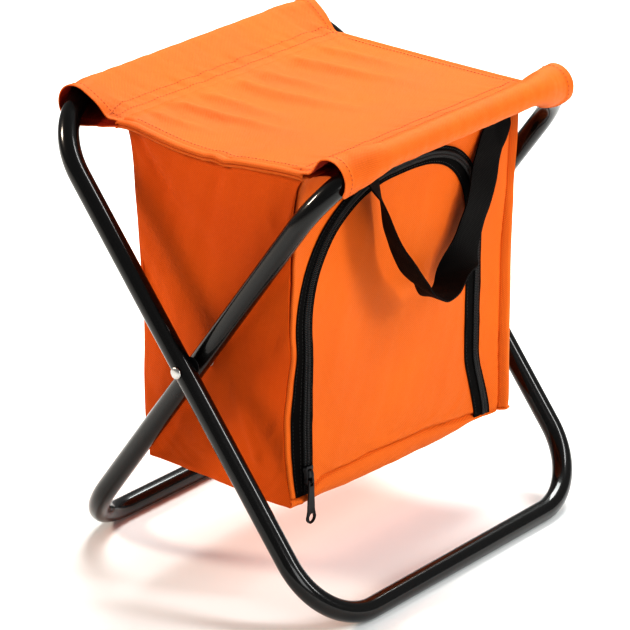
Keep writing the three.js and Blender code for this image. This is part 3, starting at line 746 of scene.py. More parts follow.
def front_x(y, z):
    """The front: the plain face, rounded in at its borders and moved to the photograph's near and far
    edges. A crease runs down beside the far corner, whose sewn edge stands out beyond it, and the top
    flares up to the seat's seam."""
    crease = 118.5 + 6.5 * smooth(205, 262, z)
    edge = rim(WIDTH - y + 1, 9.0) * rim(z - LOW + 1, 12.0)
    x = DEPTH - 2.8 + 2.8 * edge - 2.4 * bump(y, crease, 1.2) * smooth(338, 300, z)
    x = x + (through(NEAR_FRONT, z) - DEPTH + 2.4) * smooth(-110, -130, y)
    beyond = 0.35 * smooth(98, 118, y) + 0.65 * smooth(crease, crease + 7, y)
    x = x + (through(FAR_FRONT, z) - DEPTH + 1.5) * beyond
    return x + 3 * smooth(322, HIGH, z) + 0.5 * ripple(z + 0.4 * y, 120, 0.7) * edge


def rear_x(y, z):
    """The back, which leans out to the rear seam at the top and swells a little in the middle."""
    edge = rim(np.minimum(y + WIDTH, WIDTH - y), 8.0) * rim(z - LOW + 1, 12.0)
    corner = through(NEAR_REAR, z) + 1.5
    swell = 3.0 * (1 - (y / WIDTH) ** 2) * smooth(79, 190, z) * smooth(338, 200, z)
    return corner - 2.2 * edge - swell - 0.8 * ripple(z - 0.5 * y, 110, 2.2) * edge


def clear_of_rivets(out):
    """Keeps a side wall off the rivets' tails, which pass it as the stool folds: a swelling grows
    ever more slowly towards 3.4 mm, as the hyperbolic tangent does, and a hollow keeps its depth."""
    return np.where(out > 0, 3.4 * np.tanh(out / 3.4), out)


def near_y(x, z):
    """The near side: rounded in at its borders, with the folds that the photograph shows: a hollow
    down from the rear top corner, a broad ridge right of the middle and a slanting hollow below."""
    edge = rim(x + DEPTH, 8.0) * rim(z - LOW + 1, 10.0) * rim(HIGH + 1 - z, 7.0)
    swell = 2.6 * (1 - (x / DEPTH) ** 2) * smooth(79, 150, z) * smooth(338, 240, z)
    line = -66 + 0.55 * (334 - z)
    hollow = 2.8 * bump(x, line, 6 + 0.1 * (334 - z)) * smooth(240, 300, z) * smooth(338, 326, z)
    ridge = 4.4 * smooth(-6, 14, x - 0.1 * (z - 230)) * smooth(70, 24, x) * smooth(150, 240, z)
    star = 3.2 * bump(x - 0.42 * (150 - z), 26, 4.5) * smooth(96, 118, z) * smooth(168, 140, z)
    star = star + 2.9 * bump(x + 0.25 * (z - 150), 26, 5) * smooth(140, 158, z) * smooth(215, 180, z)
    slant = 4.6 * bump(x + 0.62 * (z - 150), -22, 13) * smooth(84, 120, z) * smooth(290, 190, z)
    tuck = 2.2 * bump(x + 0.5 * (330 - z), 20, 3.2) * smooth(302, 330, z)
    tuck = tuck - 1.9 * bump(x - 0.5 * (330 - z), 20, 3.0) * smooth(306, 332, z)
    low = 1.2 * bump(z - 0.2 * x, 96, 7) * edge
    waves = 1.4 * ripple(z + 0.9 * x, 95, 0.4) + 0.7 * ripple(x - 0.3 * z, 46, 2.9)
    out = (0.8 + swell + ridge + star - hollow - slant + waves + tuck - low * 0.5) * edge
    return -WIDTH + 2.4 - clear_of_rivets(out)


def far_y(x, z):
    """The far side, with folds of its own that mirror none of the near ones."""
    edge = rim(np.minimum(x + DEPTH, DEPTH - x), 8.0) * rim(z - LOW + 1, 10.0) * rim(HIGH + 1 - z, 7.0)
    swell = 2.6 * (1 - (x / DEPTH) ** 2) * smooth(79, 150, z) * smooth(338, 240, z)
    hollow = 2.0 * bump(x, 52 - 0.2 * (330 - z), 7) * smooth(210, 260, z)
    slant = 1.6 * bump(x - 0.5 * (z - 160), 10, 16) * smooth(84, 120, z) * smooth(250, 180, z)
    waves = 0.8 * ripple(z - 0.8 * x, 90, 3.4) + 0.4 * ripple(x + 0.4 * z, 44, 1.1)
    return WIDTH - 1.8 + clear_of_rivets((2.2 + swell - hollow - slant + waves) * edge)


def bottom_z(x, y):
    """The underside, which sags between its borders and hangs lowest at the front, where the
    photograph shows its lower edge."""
    front = through(BOTTOM_FRONT, y)
    back = 82.5 - 3.5 * (1 - (y / WIDTH) ** 2)
    across = smooth(-DEPTH, DEPTH, x)
    sag = 2.5 * (1 - (x / DEPTH) ** 2) * (1 - (y / WIDTH) ** 2)
    return back * (1 - across) + front * across - sag + 0.4 * ripple(y, 60, 5.2)


def shaped(x, y, z):
    """Where a point of the plain box goes. Each side's shift is full at that side and fades with a
    smooth step towards the middle, so the six sides don't disturb each other. Along the near front
    corner and both rear ones the sewn edge draws the cloth inwards, over 3 mm on both sides."""
    x, y, z = np.broadcast_arrays(np.asarray(x, float), np.asarray(y, float), np.asarray(z, float))
    front, rear = front_x(y, z) - DEPTH, rear_x(y, z) + DEPTH
    near, far = near_y(x, z) + WIDTH, far_y(x, z) - WIDTH
    below, above = bottom_z(x, y) - LOW, seat_height(x, y) - CLOTH - 0.4 - HIGH
    moved_x = x + front * smooth(20, DEPTH, x) + rear * smooth(-20, -DEPTH, x)
    moved_y = y + near * smooth(-112, -WIDTH, y) + far * smooth(112, WIDTH, y)
    moved_z = z + below * smooth(130, LOW, z) + above * smooth(285, HIGH, z)
    tall = smooth(LOW, 92, z) * smooth(HIGH + 1, 326, z)
    drawn = 4.2 * (1 - rim(DEPTH - x + y + WIDTH, 3.2)) * tall * (0.3 + 0.7 * smooth(196, 262, z))
    behind = 1.8 * (1 - rim(DEPTH + x + WIDTH - np.abs(y), 3.0)) * tall
    return np.stack([moved_x - drawn + behind, moved_y + drawn - behind * np.sign(y), moved_z], axis=-1)


corner = shaped(74, -130, 130)
print("near front corner at 130 mm height:", np.round(corner, 1).tolist())

# %% [markdown]
# ## Cloth that settles
# Formulas place the big folds where the photograph has them. The small irregular ones come from a
# short cloth simulation: each panel is held at its seams, given a little spare cloth and pushed
# from behind, as the foam does. The foam also stops the cloth from sinking in, so movement inwards
# is cut off, and a cap keeps a panel from blowing up.

# %% Settle a panel by simulation
def settle(points, held, inside, spare=0.012, push=0.6, inward=0.25, outward=4.0, frames=18):
    """Cloth simulation on a grid in millimetres. held is 1 where the cloth is sewn and 0 where it is
    free. Each point then keeps its movement along the starting normal, evened out with the points
    beside it and held between the two limits."""
    faces = grid_faces(*points.shape[:2]).tolist()
    mesh = bpy.data.meshes.new("settling")
    mesh.from_pydata((points.reshape(-1, 3) * MM).tolist(), [], faces)
    normal = grid_normals(points, inside)
    middle_face = len(faces) // 2
    beside = normal.reshape(-1, 3)[faces[middle_face][0]]
    flipped = np.array(mesh.polygons[middle_face].normal) @ beside < 0
    sheet = bpy.data.objects.new("settling", mesh)
    bpy.context.scene.collection.objects.link(sheet)
    sewn = sheet.vertex_groups.new(name="sewn")
    for number in np.flatnonzero(held.ravel() > 0):
        sewn.add([int(number)], float(held.ravel()[number]), "REPLACE")
    cloth = sheet.modifiers.new("settle", "CLOTH")
    s = cloth.settings
    s.quality = 6
    s.mass = 0.25
    s.tension_stiffness = s.compression_stiffness = 12
    s.shear_stiffness = 6
    s.bending_stiffness = 1.2
    s.vertex_group_mass = "sewn"
    s.shrink_min = -spare
    s.use_pressure = True
    s.uniform_pressure_force = -push if flipped else push
    s.effector_weights.gravity = 0.4
    cloth.collision_settings.use_collision = False
    for number in range(1, frames + 1):
        bpy.context.scene.frame_set(number)
    bpy.context.view_layer.update()
    settled = sheet.evaluated_get(bpy.context.evaluated_depsgraph_get()).data
    moved = np.empty(len(settled.vertices) * 3)
    settled.vertices.foreach_get("co", moved)
    bpy.data.objects.remove(sheet)
    bpy.context.scene.frame_set(1)
    along = np.sum((moved.reshape(points.shape) / MM - points) * normal, axis=-1)
    for again in range(4):
        padded = np.pad(along, 1, mode="edge")
        beside = padded[:-2, 1:-1] + padded[2:, 1:-1] + padded[1:-1, :-2] + padded[1:-1, 2:]
        along = (beside + 2 * along) / 6
    along = np.where(along > 0, outward * np.tanh(along / outward), inward * np.tanh(along / inward))
    return points + normal * along[..., None]


def sewn_border(rows, columns, reach=2):
    """1 on the outermost lines of a grid and 0 inside."""
    held = np.zeros((rows, columns))
    held[:reach], held[-reach:], held[:, :reach], held[:, -reach:] = 1, 1, 1, 1
    return held


# %% [markdown]
# ## The side walls, the back and the bottom
# Each wall is a grid on one side of the plain box, bent by the box's formula and settled. The side
# walls join the part of the bag that stays behind to the front, which slides towards it as the stool
# folds.

# %% Walls of orange cloth
BAG_MIDDLE = np.array([0, 0, 215.0])


def spread(start, end, count):
    """Places from start to end that lie closer together near both ends, by half a cosine wave mixed
    with an even spacing."""
    t = np.linspace(0, 1, count)
    return start + (end - start) * (0.55 * (1 - np.cos(np.pi * t)) / 2 + 0.45 * t)


def wall(name, node, axis, value, count_u, count_v):
    """A wall of cloth on the side where x, y or z has the value, with the node that it stands for."""
    deep, wide, tall = (-DEPTH, DEPTH), (-WIDTH, WIDTH), (LOW, HIGH)
    span_u, span_v = ((wide, tall), (deep, tall), (deep, wide))[axis]
    u, v = np.meshgrid(spread(*span_u, count_u), spread(*span_v, count_v))
    place = [u, v]
    place.insert(axis, value)
    held = sewn_border(count_v, count_u)
    outward = 0.5 if axis == 1 else 3.0
    points = settle(shaped(*place), held, BAG_MIDDLE, inward=0.4, outward=outward)
    # The walls take the darker copy of the cloth: painted shade.
    piece = cloth_sheet(name, points, CLOTH, BAG_MIDDLE, orange_walls_painted_shade)
    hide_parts(node)
    return piece, points


def between_back_and_front(piece):
    """Bakes a piece of the bag's place into its mesh."""
    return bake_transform(piece)


near_wall, near_points = wall("near_side", "near_side_panel", 1, -WIDTH, 84, 130)
far_wall, _ = wall("far_side", "far_side_panel", 1, WIDTH, 84, 130)
floor_wall, _ = wall("bag_bottom", "bottom_panel", 2, LOW, 70, 100)
back_wall, _ = wall("bag_back_wall", "back_panel", 0, -DEPTH, 110, 120)
for piece in (near_wall, far_wall, floor_wall):
    between_back_and_front(piece)
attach(back_wall, "bag_back")
print("near wall stands", round(-WIDTH - near_points[..., 1].min(), 1), "mm out at most")

# %% [markdown]
# ## The seat
# One panel of doubled cloth spans the two sleeves. It sags between the rails, most at the near edge,
# and long soft folds run forwards from the rear seam. Its side edges are rolled hems that hang a
# little over the walls, so the grid's last rows turn down round a small arc. The folds come from the
# formula above, and the simulation adds only a slight unevenness, held off the seams and the hems.

# %% Seat cloth with rolled hems
HEM = [  # share of the hem, distance out and drop
    (0, 0, 0), (0.18, 1.8, 0.4), (0.36, 2.9, 1.6), (0.5, 2.4, 2.7), (0.6, 1.5, 3.1), (0.72, 2.3, 3.6),
    (0.86, 2.5, 4.6), (1, 1.6, 5.6),
]
FLAT_SHARE, FLAT_HALF = 0.93, 129.6


def seat_points(rows=190, columns=150):
    """The seat as a grid: x runs from seam to seam; across it, y is even over the flat part. At both
    edges the hem turns down through a few rows."""
    w = spread(-1, 1, rows)
    roll = np.clip((np.abs(w) - FLAT_SHARE) / (1 - FLAT_SHARE), 0, 1)
    out, drop = through(HEM, roll).T
    y = np.sign(w) * (np.clip(np.abs(w) / FLAT_SHARE, 0, 1) * FLAT_HALF + out)
    grid_x, grid_y = np.meshgrid(np.linspace(-86.5, 86.5, columns), y)
    under = np.clip(np.abs(grid_x) - SEAM_X, 0, 3)
    z = seat_height(np.clip(grid_x, -SEAM_X, SEAM_X), np.clip(grid_y, -130.2, 130.2))
    z = z - drop[:, None] - 0.45 * under
    away = np.abs(grid_y)
    z = z + 0.5 * bump(away, 122.5, 2.4) - 0.8 * bump(away, 126.2, 1.0) + 0.2 * bump(away, 129, 1.2)
    grid_y = grid_y + np.sign(grid_y) * (0.5 * ripple(grid_x, 44, 0.6) * roll[:, None])
    return np.stack([grid_x, grid_y, z], axis=-1)


points = seat_points()
held = sewn_border(*points.shape[:2], reach=1)
held[:18], held[-18:] = 1, 1
held[:, :10], held[:, -10:] = 1, 1
points = settle(points, held, BAG_MIDDLE, spare=0.010, push=-0.15, inward=0.5, outward=0.8)
seat = cloth_sheet("seat_cloth", points, CLOTH, BAG_MIDDLE, orange)
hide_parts("seat_panel")
between_back_and_front(seat)
print("seat spans z", points[..., 2].min().round(1), "to", points[..., 2].max().round(1))

# %% [markdown]
# ## The sleeves
# The seat's front and rear edges are sewn into sleeves round the top rails. In the middle a sleeve
# is pulled tight; at its ends it stays open and loose, because the tube bends down and away. Its
# outline is a circle round the tube with two straight lines from the seam that touch the circle.
# The inner side has a darker, redder copy of the cloth, painted shade for the shadow in the open mouths.

# %% Sleeves round the top rails
def sleeve_ends(side, y):
    """The circle's centre and radius along Y, in distance from the middle of the stool, height and
    radius: tight over the straight rail, growing by smooth steps where the tube bends away."""
    away = np.abs(y)
    if side < 0:
        loose = smooth(98, 136, away)
        return 130 - 7.2 * loose, 348 - 3.2 * loose, 9.5 + 4.9 * loose + 0.7 * bump(away, 112, 12)
    loose = smooth(84, 134, away)
    return 124 - 12.5 * loose, 348 - 8.2 * loose, 9.5 + 5.4 * loose + 1.6 * bump(away, 106, 13)


def sleeve_points(side, rows, columns, v_end):
    """Rows run round the sleeve: along the upper line, round the circle, back along the lower line.
    Columns run along Y to the end that v_end gives for each row."""
    u = np.linspace(0, 1, rows)[:, None]
    y = spread(-1, 1, columns)[None, :] * v_end(u)
    cx, cz, radius = sleeve_ends(side, y)
    slack = 0.4 + 0.45 * ripple(y, 31, 0.4 + side) + 0.3 * ripple(y + 40 * u, 17, 2.0)
    radius = radius + slack * smooth(0.05, 0.25, u) * smooth(0.98, 0.85, u) * 0.5
    seam_up = seat_height(side * SEAM_X, np.clip(y, -130, 130))
    seam_low = seam_up - 2.4 - 1.6 * smooth(110, 134, np.abs(y))

    def touch(seam_z, turn):
        dx, dz = SEAM_X - cx, seam_z - cz
        toward = np.arctan2(dz, dx)
        toward = np.where(toward > 0, toward - 2 * np.pi, toward)
        return toward + turn * np.arccos(np.clip(radius / np.hypot(dx, dz), -1, 1))

    first, last = touch(seam_up, -1) + 2 * np.pi, touch(seam_low, 1)
    share = np.clip((u - 0.24) / 0.5, 0, 1)
    angle = first + (last - first) * share
    round_x, round_z = cx + radius * np.cos(angle), cz + radius * np.sin(angle)
    upper, lower = np.clip(u / 0.24, 0, 1), np.clip((u - 0.74) / 0.26, 0, 1)
    rise = (np.sqrt(upper**2 + 0.0144) - 0.12) / (math.sqrt(1.0144) - 0.12)
    x = SEAM_X + (round_x - SEAM_X) * upper
    z = seam_up + (round_z - seam_up) * rise
    x = x + (SEAM_X - x) * lower
    z = z + (seam_low - z) * lower
    dimple = 1.1 * ripple(y + 0.5 * (x - SEAM_X), 23, 1.7) * bump(x, SEAM_X + 13, 9) * smooth(0, 0.06, u)
    z = z - dimple * (1 - 2 * (u > 0.5)) * 0.7
    z = z - 4.6 * bump(x, 95, 6) * smooth(116, 134, np.abs(y)) * smooth(0.3, 0.2, u)
    return np.stack([side * x, y, z], axis=-1), np.stack(np.broadcast_arrays(side * cx, y, cz), axis=-1)


def rear_end(u):
    """The rear sleeve's half length: longer over the crown than at the seam."""
    return 131 + 5.0 * smooth(0, 0.35, u) - 1.5 * smooth(0.6, 1, u)


def front_end(u):
    """The front sleeve's half length: cut back underneath, where the inner tube leaves it."""
    return 132 + 3.0 * smooth(0, 0.3, u) - 24 * smooth(0.56, 0.74, u) + 20 * smooth(0.86, 1, u)


def hem_swell(points, centres, count=9, height=0.7):
    """The doubled cloth of the hems: the last columns at both ends stand out by a rounded step."""
    column = np.arange(points.shape[1])
    near_end = np.minimum(column, points.shape[1] - 1 - column)
    away = points - centres
    away /= np.linalg.norm(away, axis=-1, keepdims=True)
    return points + away * (height * rim(count - near_end.clip(0, count), 3.0))[None, :, None]


SLEEVES = {  # node, side of the stool, ends of its rows, and the two bodies that it joins
    "rear_sleeve": ("seat_rear_sleeve", -1, rear_end, ("outer_frame", "bag_back")),
    "front_sleeve": ("seat_front_sleeve", 1, front_end, ("inner_frame", "front_seam")),
}


def with_rail(piece):
    """Bakes a piece of a sleeve's place into its mesh."""
    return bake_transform(piece)


sleeves = {}
for name, (node, side, end, pair) in SLEEVES.items():
    points, centres = sleeve_points(side, 96, 150, end)
    points = hem_swell(points, centres)
    piece = cloth_sheet(name, points, 0.95, centres, orange)
    cells = (points.shape[0] - 1) * (points.shape[1] - 1)
    rim_faces = len(piece.data.polygons) - 2 * cells
    # The inner faces take the darker copy of the cloth: painted shade.
    piece.data.materials.append(painted_shade_inside[0])
    numbers = np.repeat([0, 1, 0], [cells, cells, rim_faces]).astype(np.int32)
    piece.data.polygons.foreach_set("material_index", numbers)
    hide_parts(node)
    with_rail(piece)
    sleeves[name] = (piece, points)
    print(name, "is", np.ptp(points[..., 1]).round(1), "mm long")

# %% [markdown]
# ## The seam at the front
# Where the front sleeve, the seat and the bag's front meet, a folded strip of the same cloth binds
# the raw edges. It is a flattened roll along Y, a little uneven like any turned seam.

# %% Binding under the front seam
low, high = box_mm("front_seam_binding")
rows, columns = 20, 120
y = np.linspace(low[1], high[1], columns)[None, :]
turn = np.linspace(0, 2 * np.pi, rows + 1)[:-1, None]
half, centre = (high - low) / 2, (low + high) / 2
flatten = np.sign(np.sin(turn)) * np.abs(np.sin(turn)) ** 0.7
x = centre[0] + half[0] * np.cos(turn) + 0.2 * ripple(y, 30, 1.0)
seam_drop = seat_height(81, np.clip(y, -130, 130)) - 339 - 0.3
z = centre[2] + half[2] * flatten + seam_drop + 0.1 * ripple(y, 17, 3.0)
ring = np.stack(np.broadcast_arrays(x, y, z), axis=-1)
first = np.arange(rows) * columns
ends = [first.tolist(), (first + columns - 1)[::-1].tolist()]
faces = grid_faces(rows, columns, close_rows=True).tolist() + ends
binding = put_mesh("front_binding", ring, faces, orange, cloth_lengths(ring), sharp=60)
if binding.data.polygons[0].normal.x < 0:
    binding.data.flip_normals()
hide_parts("front_seam_binding")
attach(binding, "front_seam")
print("binding is", np.round(high - low, 1).tolist(), "mm")

# %% [markdown]
# ## Seat stitches
# Two rows of stitches hold the rear seam and one the front seam, and each hem has its own. The
# thread is darker than the cloth, painted shade for the small shadows round each stitch, and it
# sinks in, so the rows show as fine dotted lines.

# %% Stitches on the seat and the sleeves
def lay_on_seat(x, y):
    """Points on the seat's upper face, a hair above the cloth."""
    x, y = np.broadcast_arrays(np.asarray(x, float), np.asarray(y, float))
    return np.stack([x, y, seat_height(x, np.clip(y, -130, 130)) + 0.1], axis=-1)


x, y = np.linspace(-78, 78, 200), np.linspace(-127, 127, 300)
seat_rows = [lay_on_seat(79.5, y), lay_on_seat(x, -122.0), lay_on_seat(x, 122.0)]
seat_threads = []
for k, row in enumerate(seat_rows):
    seat_threads.append(stitch_row("seat_stitches_" + str(k), row, (0, 0, 1), orange_thread_painted_shade))
    between_back_and_front(seat_threads[k])


def sleeve_stitches(name, path):
    """A row of stitches along one line of a sleeve's grid, facing away from the middle of the rail."""
    spots, along = evenly_along(path, 3.3)
    out = spots - np.array([np.sign(path[0, 0]) * 121.0, 0, 347.0])
    out[:, 1] = 0
    across = np.cross(out, along)
    raised = spots + 0.08 * out / np.linalg.norm(out, axis=1, keepdims=True)
    return pills(name, raised, along, across, (0.95, 0.36, 0.26), orange_thread_painted_shade)


PILL_POINTS = len(pill()[0])
sleeve_threads = {}
for name, (piece, points) in sleeves.items():
    lines = {"_hem_near": points[2:-2, 7], "_hem_far": points[2:-2, -8]}
    for number, row in enumerate((4, 8) if name == "rear_sleeve" else (3,)):
        lines["_seam_row_" + str(number)] = points[row, 4:-4]
    sleeve_threads[name] = [sleeve_stitches(name + part, path) for part, path in lines.items()]
    for piece in sleeve_threads[name]:
        with_rail(piece)
    count = len(sleeve_threads[name][0].data.vertices) // PILL_POINTS
    print(name, "hem rows hold", count, "stitches each")

# %% [markdown]
# ## The front wall round the door
# The zip runs up the near side, over a lopsided arch and down the far side. The arch is a
# superellipse, rounder at the near side and squarer at the far one. The cloth round it is a grid
# between the arch and the wall's four straight borders; below, a rounded strip closes the front.

# %% The line of the zip and the front's surface
ZIP_NEAR, ZIP_FAR, SPRING, RISE = -113.0, 89.0, 215.0, 92.0  # y of its legs; foot and rise of the arch
ZIP_MIDDLE = (ZIP_NEAR + ZIP_FAR) / 2
FOOT = 86.0
NEAR_POWER, FAR_POWER = 2.1, 3.2  # of the superellipse
CORNER_NEAR, CORNER_FAR = 1.28, 1.72  # places along the zip that face the wall's upper corners
SEAM = [(-130, 86), (-113, 86.2), (-100, 90.5), (-50, 94.6), (0, 94.2), (50, 91), (80, 86),
        (103, 82.4), (130, 82)]  # y and height of the door's lower seam


def flare(z):
    """How far the zip's far leg bends outwards near its foot."""
    return 14 * smooth(132, 78, z)


def arch(s, near=0.0, top=0.0, far=0.0, foot_near=FOOT, foot_far=82.0):
    """A line beside the zip: s is 0 to 1 up the near leg, 1 to 2 over the arch and 2 to 3 down the
    far leg. On the arch, y is the half width times the cosine to the power of 2/p and z the rise
    times the sine to the same power, with p 2.1 on the near half and 3.2 on the far half."""
    s = np.asarray(s, float)
    near_half, far_half = ZIP_MIDDLE - ZIP_NEAR + near, ZIP_FAR - ZIP_MIDDLE + far
    turn = np.pi * (1 - np.clip(s - 1, 0, 1))
    c, n = np.cos(turn), np.clip(np.sin(turn), 0, 1)
    power = np.where(c < 0, 2 / NEAR_POWER, 2 / FAR_POWER)
    y = ZIP_MIDDLE + np.where(c < 0, -near_half, far_half) * np.abs(c) ** power
    z = SPRING + (RISE + top) * n**power
    z = np.where(s < 1, foot_near + (SPRING - foot_near) * s, z)
    z = np.where(s > 2, SPRING - (SPRING - foot_far) * (s - 2), z)
    return y + np.where(s > 2, flare(z), 0), z


def on_front(y, z, lift=0.0):
    """A point of the front wall, moved along the wall's normal by the lift."""
    y, z, lift = np.broadcast_arrays(np.asarray(y, float), np.asarray(z, float), np.asarray(lift, float))
    along_y = shaped(DEPTH, y + 0.4, z) - shaped(DEPTH, y - 0.4, z)
    along_z = shaped(DEPTH, y, z + 0.4) - shaped(DEPTH, y, z - 0.4)
    normal = np.cross(along_y, along_z)
    normal /= np.linalg.norm(normal, axis=-1, keepdims=True)
    return shaped(DEPTH, y, z) + normal * lift[..., None]


def seam_z(y):
    """The height of the seam at which the door's lower edge is sewn on."""
    return through(SEAM, y)


# %% Cloth round the door, and the strip below it
def places_along(*spans):
    """Places along the zip: even steps in each span of (start, end, count), and its end at 3."""
    steps = [np.linspace(start, end, count, endpoint=False) for start, end, count in spans]
    return np.concatenate(steps + [[3]])


def front_cloth(name, node, points, y, z):
    """A sheet of the front, whose flat coordinates are its y and z on the drawing."""
    flat = np.stack(np.broadcast_arrays(y, z), axis=-1) * MM
    piece = cloth_sheet(name, points, CLOTH, BAG_MIDDLE, orange, flat)
    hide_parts(node)
    return piece


s = places_along((0, 1, 70), (1, CORNER_NEAR, 36), (CORNER_NEAR, CORNER_FAR, 60),
                 (CORNER_FAR, 2, 36), (2, 3, 70))
inner_y, inner_z = arch(s, 2, 2, 2)
corners = [0, CORNER_NEAR, CORNER_FAR, 3]
border_y = np.interp(s, corners, [-WIDTH, -WIDTH, WIDTH, WIDTH])
heights = [FOOT, 252, HIGH, HIGH, 262, 82]
border_z = np.interp(s, [0, 1, CORNER_NEAR, CORNER_FAR, 2, 3], heights)
r = spread(0, 1, 44)[:, None]
grid_y, grid_z = inner_y + (border_y - inner_y) * r, inner_z + (border_z - inner_z) * r
points = on_front(grid_y, grid_z, 0.8 * smooth(0, 0.3, r) * smooth(1, 0.85, r))
surround = front_cloth("front_wall", "front_panel", points, grid_y, grid_z)

y = np.linspace(-WIDTH, WIDTH, 150)[None, :]
t = np.linspace(0, 1, 30)[:, None] ** 0.7
z = LOW + (seam_z(y) - LOW) * t
belly = 1.9 * np.sin(np.pi * t) - 2.0 * bump(z - seam_z(y), 0, 1.2)
belly = belly + 0.25 * ripple(y, 38, 2.4) * np.sin(np.pi * t)
slanting = y + 0.8 * (z - 84)
tuck = 1.2 * bump(slanting, -121, 3.0) - 1.0 * bump(slanting, -116, 2.5)
points = on_front(y, z, belly + tuck * np.sin(np.pi * t))
strip = front_cloth("front_lower_strip", "front_panel", points, y, z)
for piece in (surround, strip):
    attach(piece, "bag_front")
print("front wall has", len(surround.data.vertices), "points, the strip", len(strip.data.vertices))

# %% [markdown]
# ## The door
# The door is the cloth inside the zip, padded like the walls. It is sewn on at its lower edge. Its
# rows run from the near leg of the zip to the far one, and the rows over the arch follow the sine of
# an angle, so that they close smoothly at the top.

# %% Door
def door_grid(inset, rows=110, columns=110):
    """Places on the door in (y, z), a given distance inside the zip's line, and how far each is from
    the border. Across a row, y runs between the two legs of the zip's superellipse."""
    rise, half = RISE - inset, rows // 2
    angle = np.linspace(0, 1, rows - half + 1)[1:] * np.radians(88.5)
    legs = FOOT + (SPRING - FOOT) * np.linspace(0, 1, half) ** 1.6
    level = np.concatenate([legs, SPRING + rise * np.sin(angle)])[:, None]
    q = np.clip((level - SPRING) / rise, 0, 1)
    near, far = [(1 - q**power) ** (1 / power) for power in (NEAR_POWER, FAR_POWER)]
    left = ZIP_MIDDLE - (ZIP_MIDDLE - ZIP_NEAR - inset) * near
    right = ZIP_MIDDLE + (ZIP_FAR - ZIP_MIDDLE - inset) * far + flare(level)
    y = left + (right - left) * spread(0, 1, columns)[None, :]
    fade = np.clip((level - FOOT) / (SPRING - FOOT), 0, 1)
    z = level + (seam_z(y) - FOOT) * (1 - fade) ** 3
    border = np.minimum(np.minimum(y - left, right - y), (SPRING + rise - level) * 0.9)
    return y, z, border


def door_lift(y, z, border):
    """How far the door stands out of the plain front: it swells inside the tape, waves a little, and
    dips at the seam it hangs on."""
    swell = 2.6 * smooth(5, 42, border) * smooth(84, 120, z)
    waves = 0.7 * ripple(z + 0.7 * y, 120, 1.9) + 0.35 * ripple(y - 0.4 * z, 55, 0.2)
    crease = 2.2 * bump(z - seam_z(y), 0, 1.3)
    return 0.3 + swell + waves * smooth(6, 30, border) - crease


y, z, border = door_grid(1.4)
points = on_front(y, z, door_lift(y, z, border))
held = np.where(border < 10, 1.0, 0.0)
held[:2] = 1
points = settle(points, held, BAG_MIDDLE, spare=0.010, push=0.5, outward=2.2)
door = front_cloth("door_cloth", "door_panel", points, y, z)


def with_door(piece):
    """Bakes a piece of the door's place into its mesh."""
    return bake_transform(piece)


with_door(door)
print("door is", np.round(np.ptp(points.reshape(-1, 3), axis=0), 1).tolist(), "mm")

# %% [markdown]
# ## The zip
# Two black tapes carry a nylon coil each. The tape on the bag is wide along the near leg, where the
# photograph shows a broad black band, and the door's is wide along the far leg. The teeth are the
# turns of the coils, which lock in the middle: one small capsule for each turn.

# %% Zip tapes
def tape(name, node, inner, outer, lifts):
    """A band between two lines beside the zip, 9 points wide, lifted off the cloth from one height to
    another, with a slow wave in its free edge."""
    s = np.linspace(0, 3, 420)[None, :]
    r = np.linspace(0, 1, 9)[:, None]
    first = arch(s, *inner)
    last = arch(s, *outer)
    y, z = [a + (b - a) * r for a, b in zip(first, last)]
    lift = lifts[0] + (lifts[1] - lifts[0]) * r + 0.22 * ripple(s, 0.34, outer[0]) * r
    points = on_front(y, z, lift)
    v = np.stack(np.broadcast_arrays(s * 180 * MM, r * 12 * MM), axis=-1)
    piece = cloth_sheet(name, points, 0.55, BAG_MIDDLE, tape_black, v)
    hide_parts(node)
    return piece


bag_tape = tape("zip_tape_on_bag", "zip_tape_bag", (0.6, 0.6, 0.6), (11.6, 6, 5), (0.9, 1.5))
door_tape = tape("zip_tape_on_door", "zip_tape_door", (-0.6, -0.6, -0.6), (-6.5, -6.5, -12.5), (0.9, 1.25))
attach(bag_tape, "bag_front")
with_door(door_tape)

# %% Zip teeth
def teeth(name, node, side):
    """One half of the teeth: capsules across the zip's line, at even distances, shifted by half a
    tooth against the other half. side is 1 on the bag and -1 on the door."""
    s = np.linspace(0, 3, 2400)
    path = on_front(*arch(s), 1.5)
    edge = on_front(*arch(s, 3, 3, 3), 1.5)
    keep = slice(4, -4) if side > 0 else slice(12, None)
    spots, along = evenly_along(path[keep], 1.3)
    aside, _ = evenly_along(edge[keep], 1.3)
    out = aside[np.linspace(0, len(aside) - 1, len(spots)).round().astype(int)] - spots
    out -= along * np.sum(out * along, axis=1, keepdims=True) / np.sum(along**2, axis=1, keepdims=True)
    out /= np.linalg.norm(out, axis=1, keepdims=True)
    centres = spots + side * out * 1.35
    piece = pills(name, centres, out, along, (1.75, 0.44, 0.85), zip_nylon)
    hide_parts(node)
    return piece


bag_teeth = teeth("zip_teeth_on_bag", "zip_coil_bag", 1)
door_teeth = teeth("zip_teeth_on_door", "zip_coil_door", -1)
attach(bag_teeth, "bag_front")
with_door(door_teeth)
print("teeth on each side:", len(bag_teeth.data.vertices) // PILL_POINTS)

# %% Stitches along the tapes
def beside_zip(name, amount, lift):
    """A row of stitches at a distance beside the zip's line."""
    path = on_front(*arch(np.linspace(0.02, 2.98, 1200), *amount), lift)
    return stitch_row(name, path, (1, 0, 0), black_thread, 3.0, 2.2, 0.5)


outer_threads = beside_zip("tape_stitches_outer", (10.0, 4.6, 3.6), 1.38)
middle_threads = beside_zip("tape_stitches_middle", (4.6, 3.9, 3.0), 1.08)
door_threads = beside_zip("tape_stitches_door", (-4.8, -4.8, -10.4), 1.12)
for piece in (outer_threads, middle_threads):
    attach(piece, "bag_front")
with_door(door_threads)

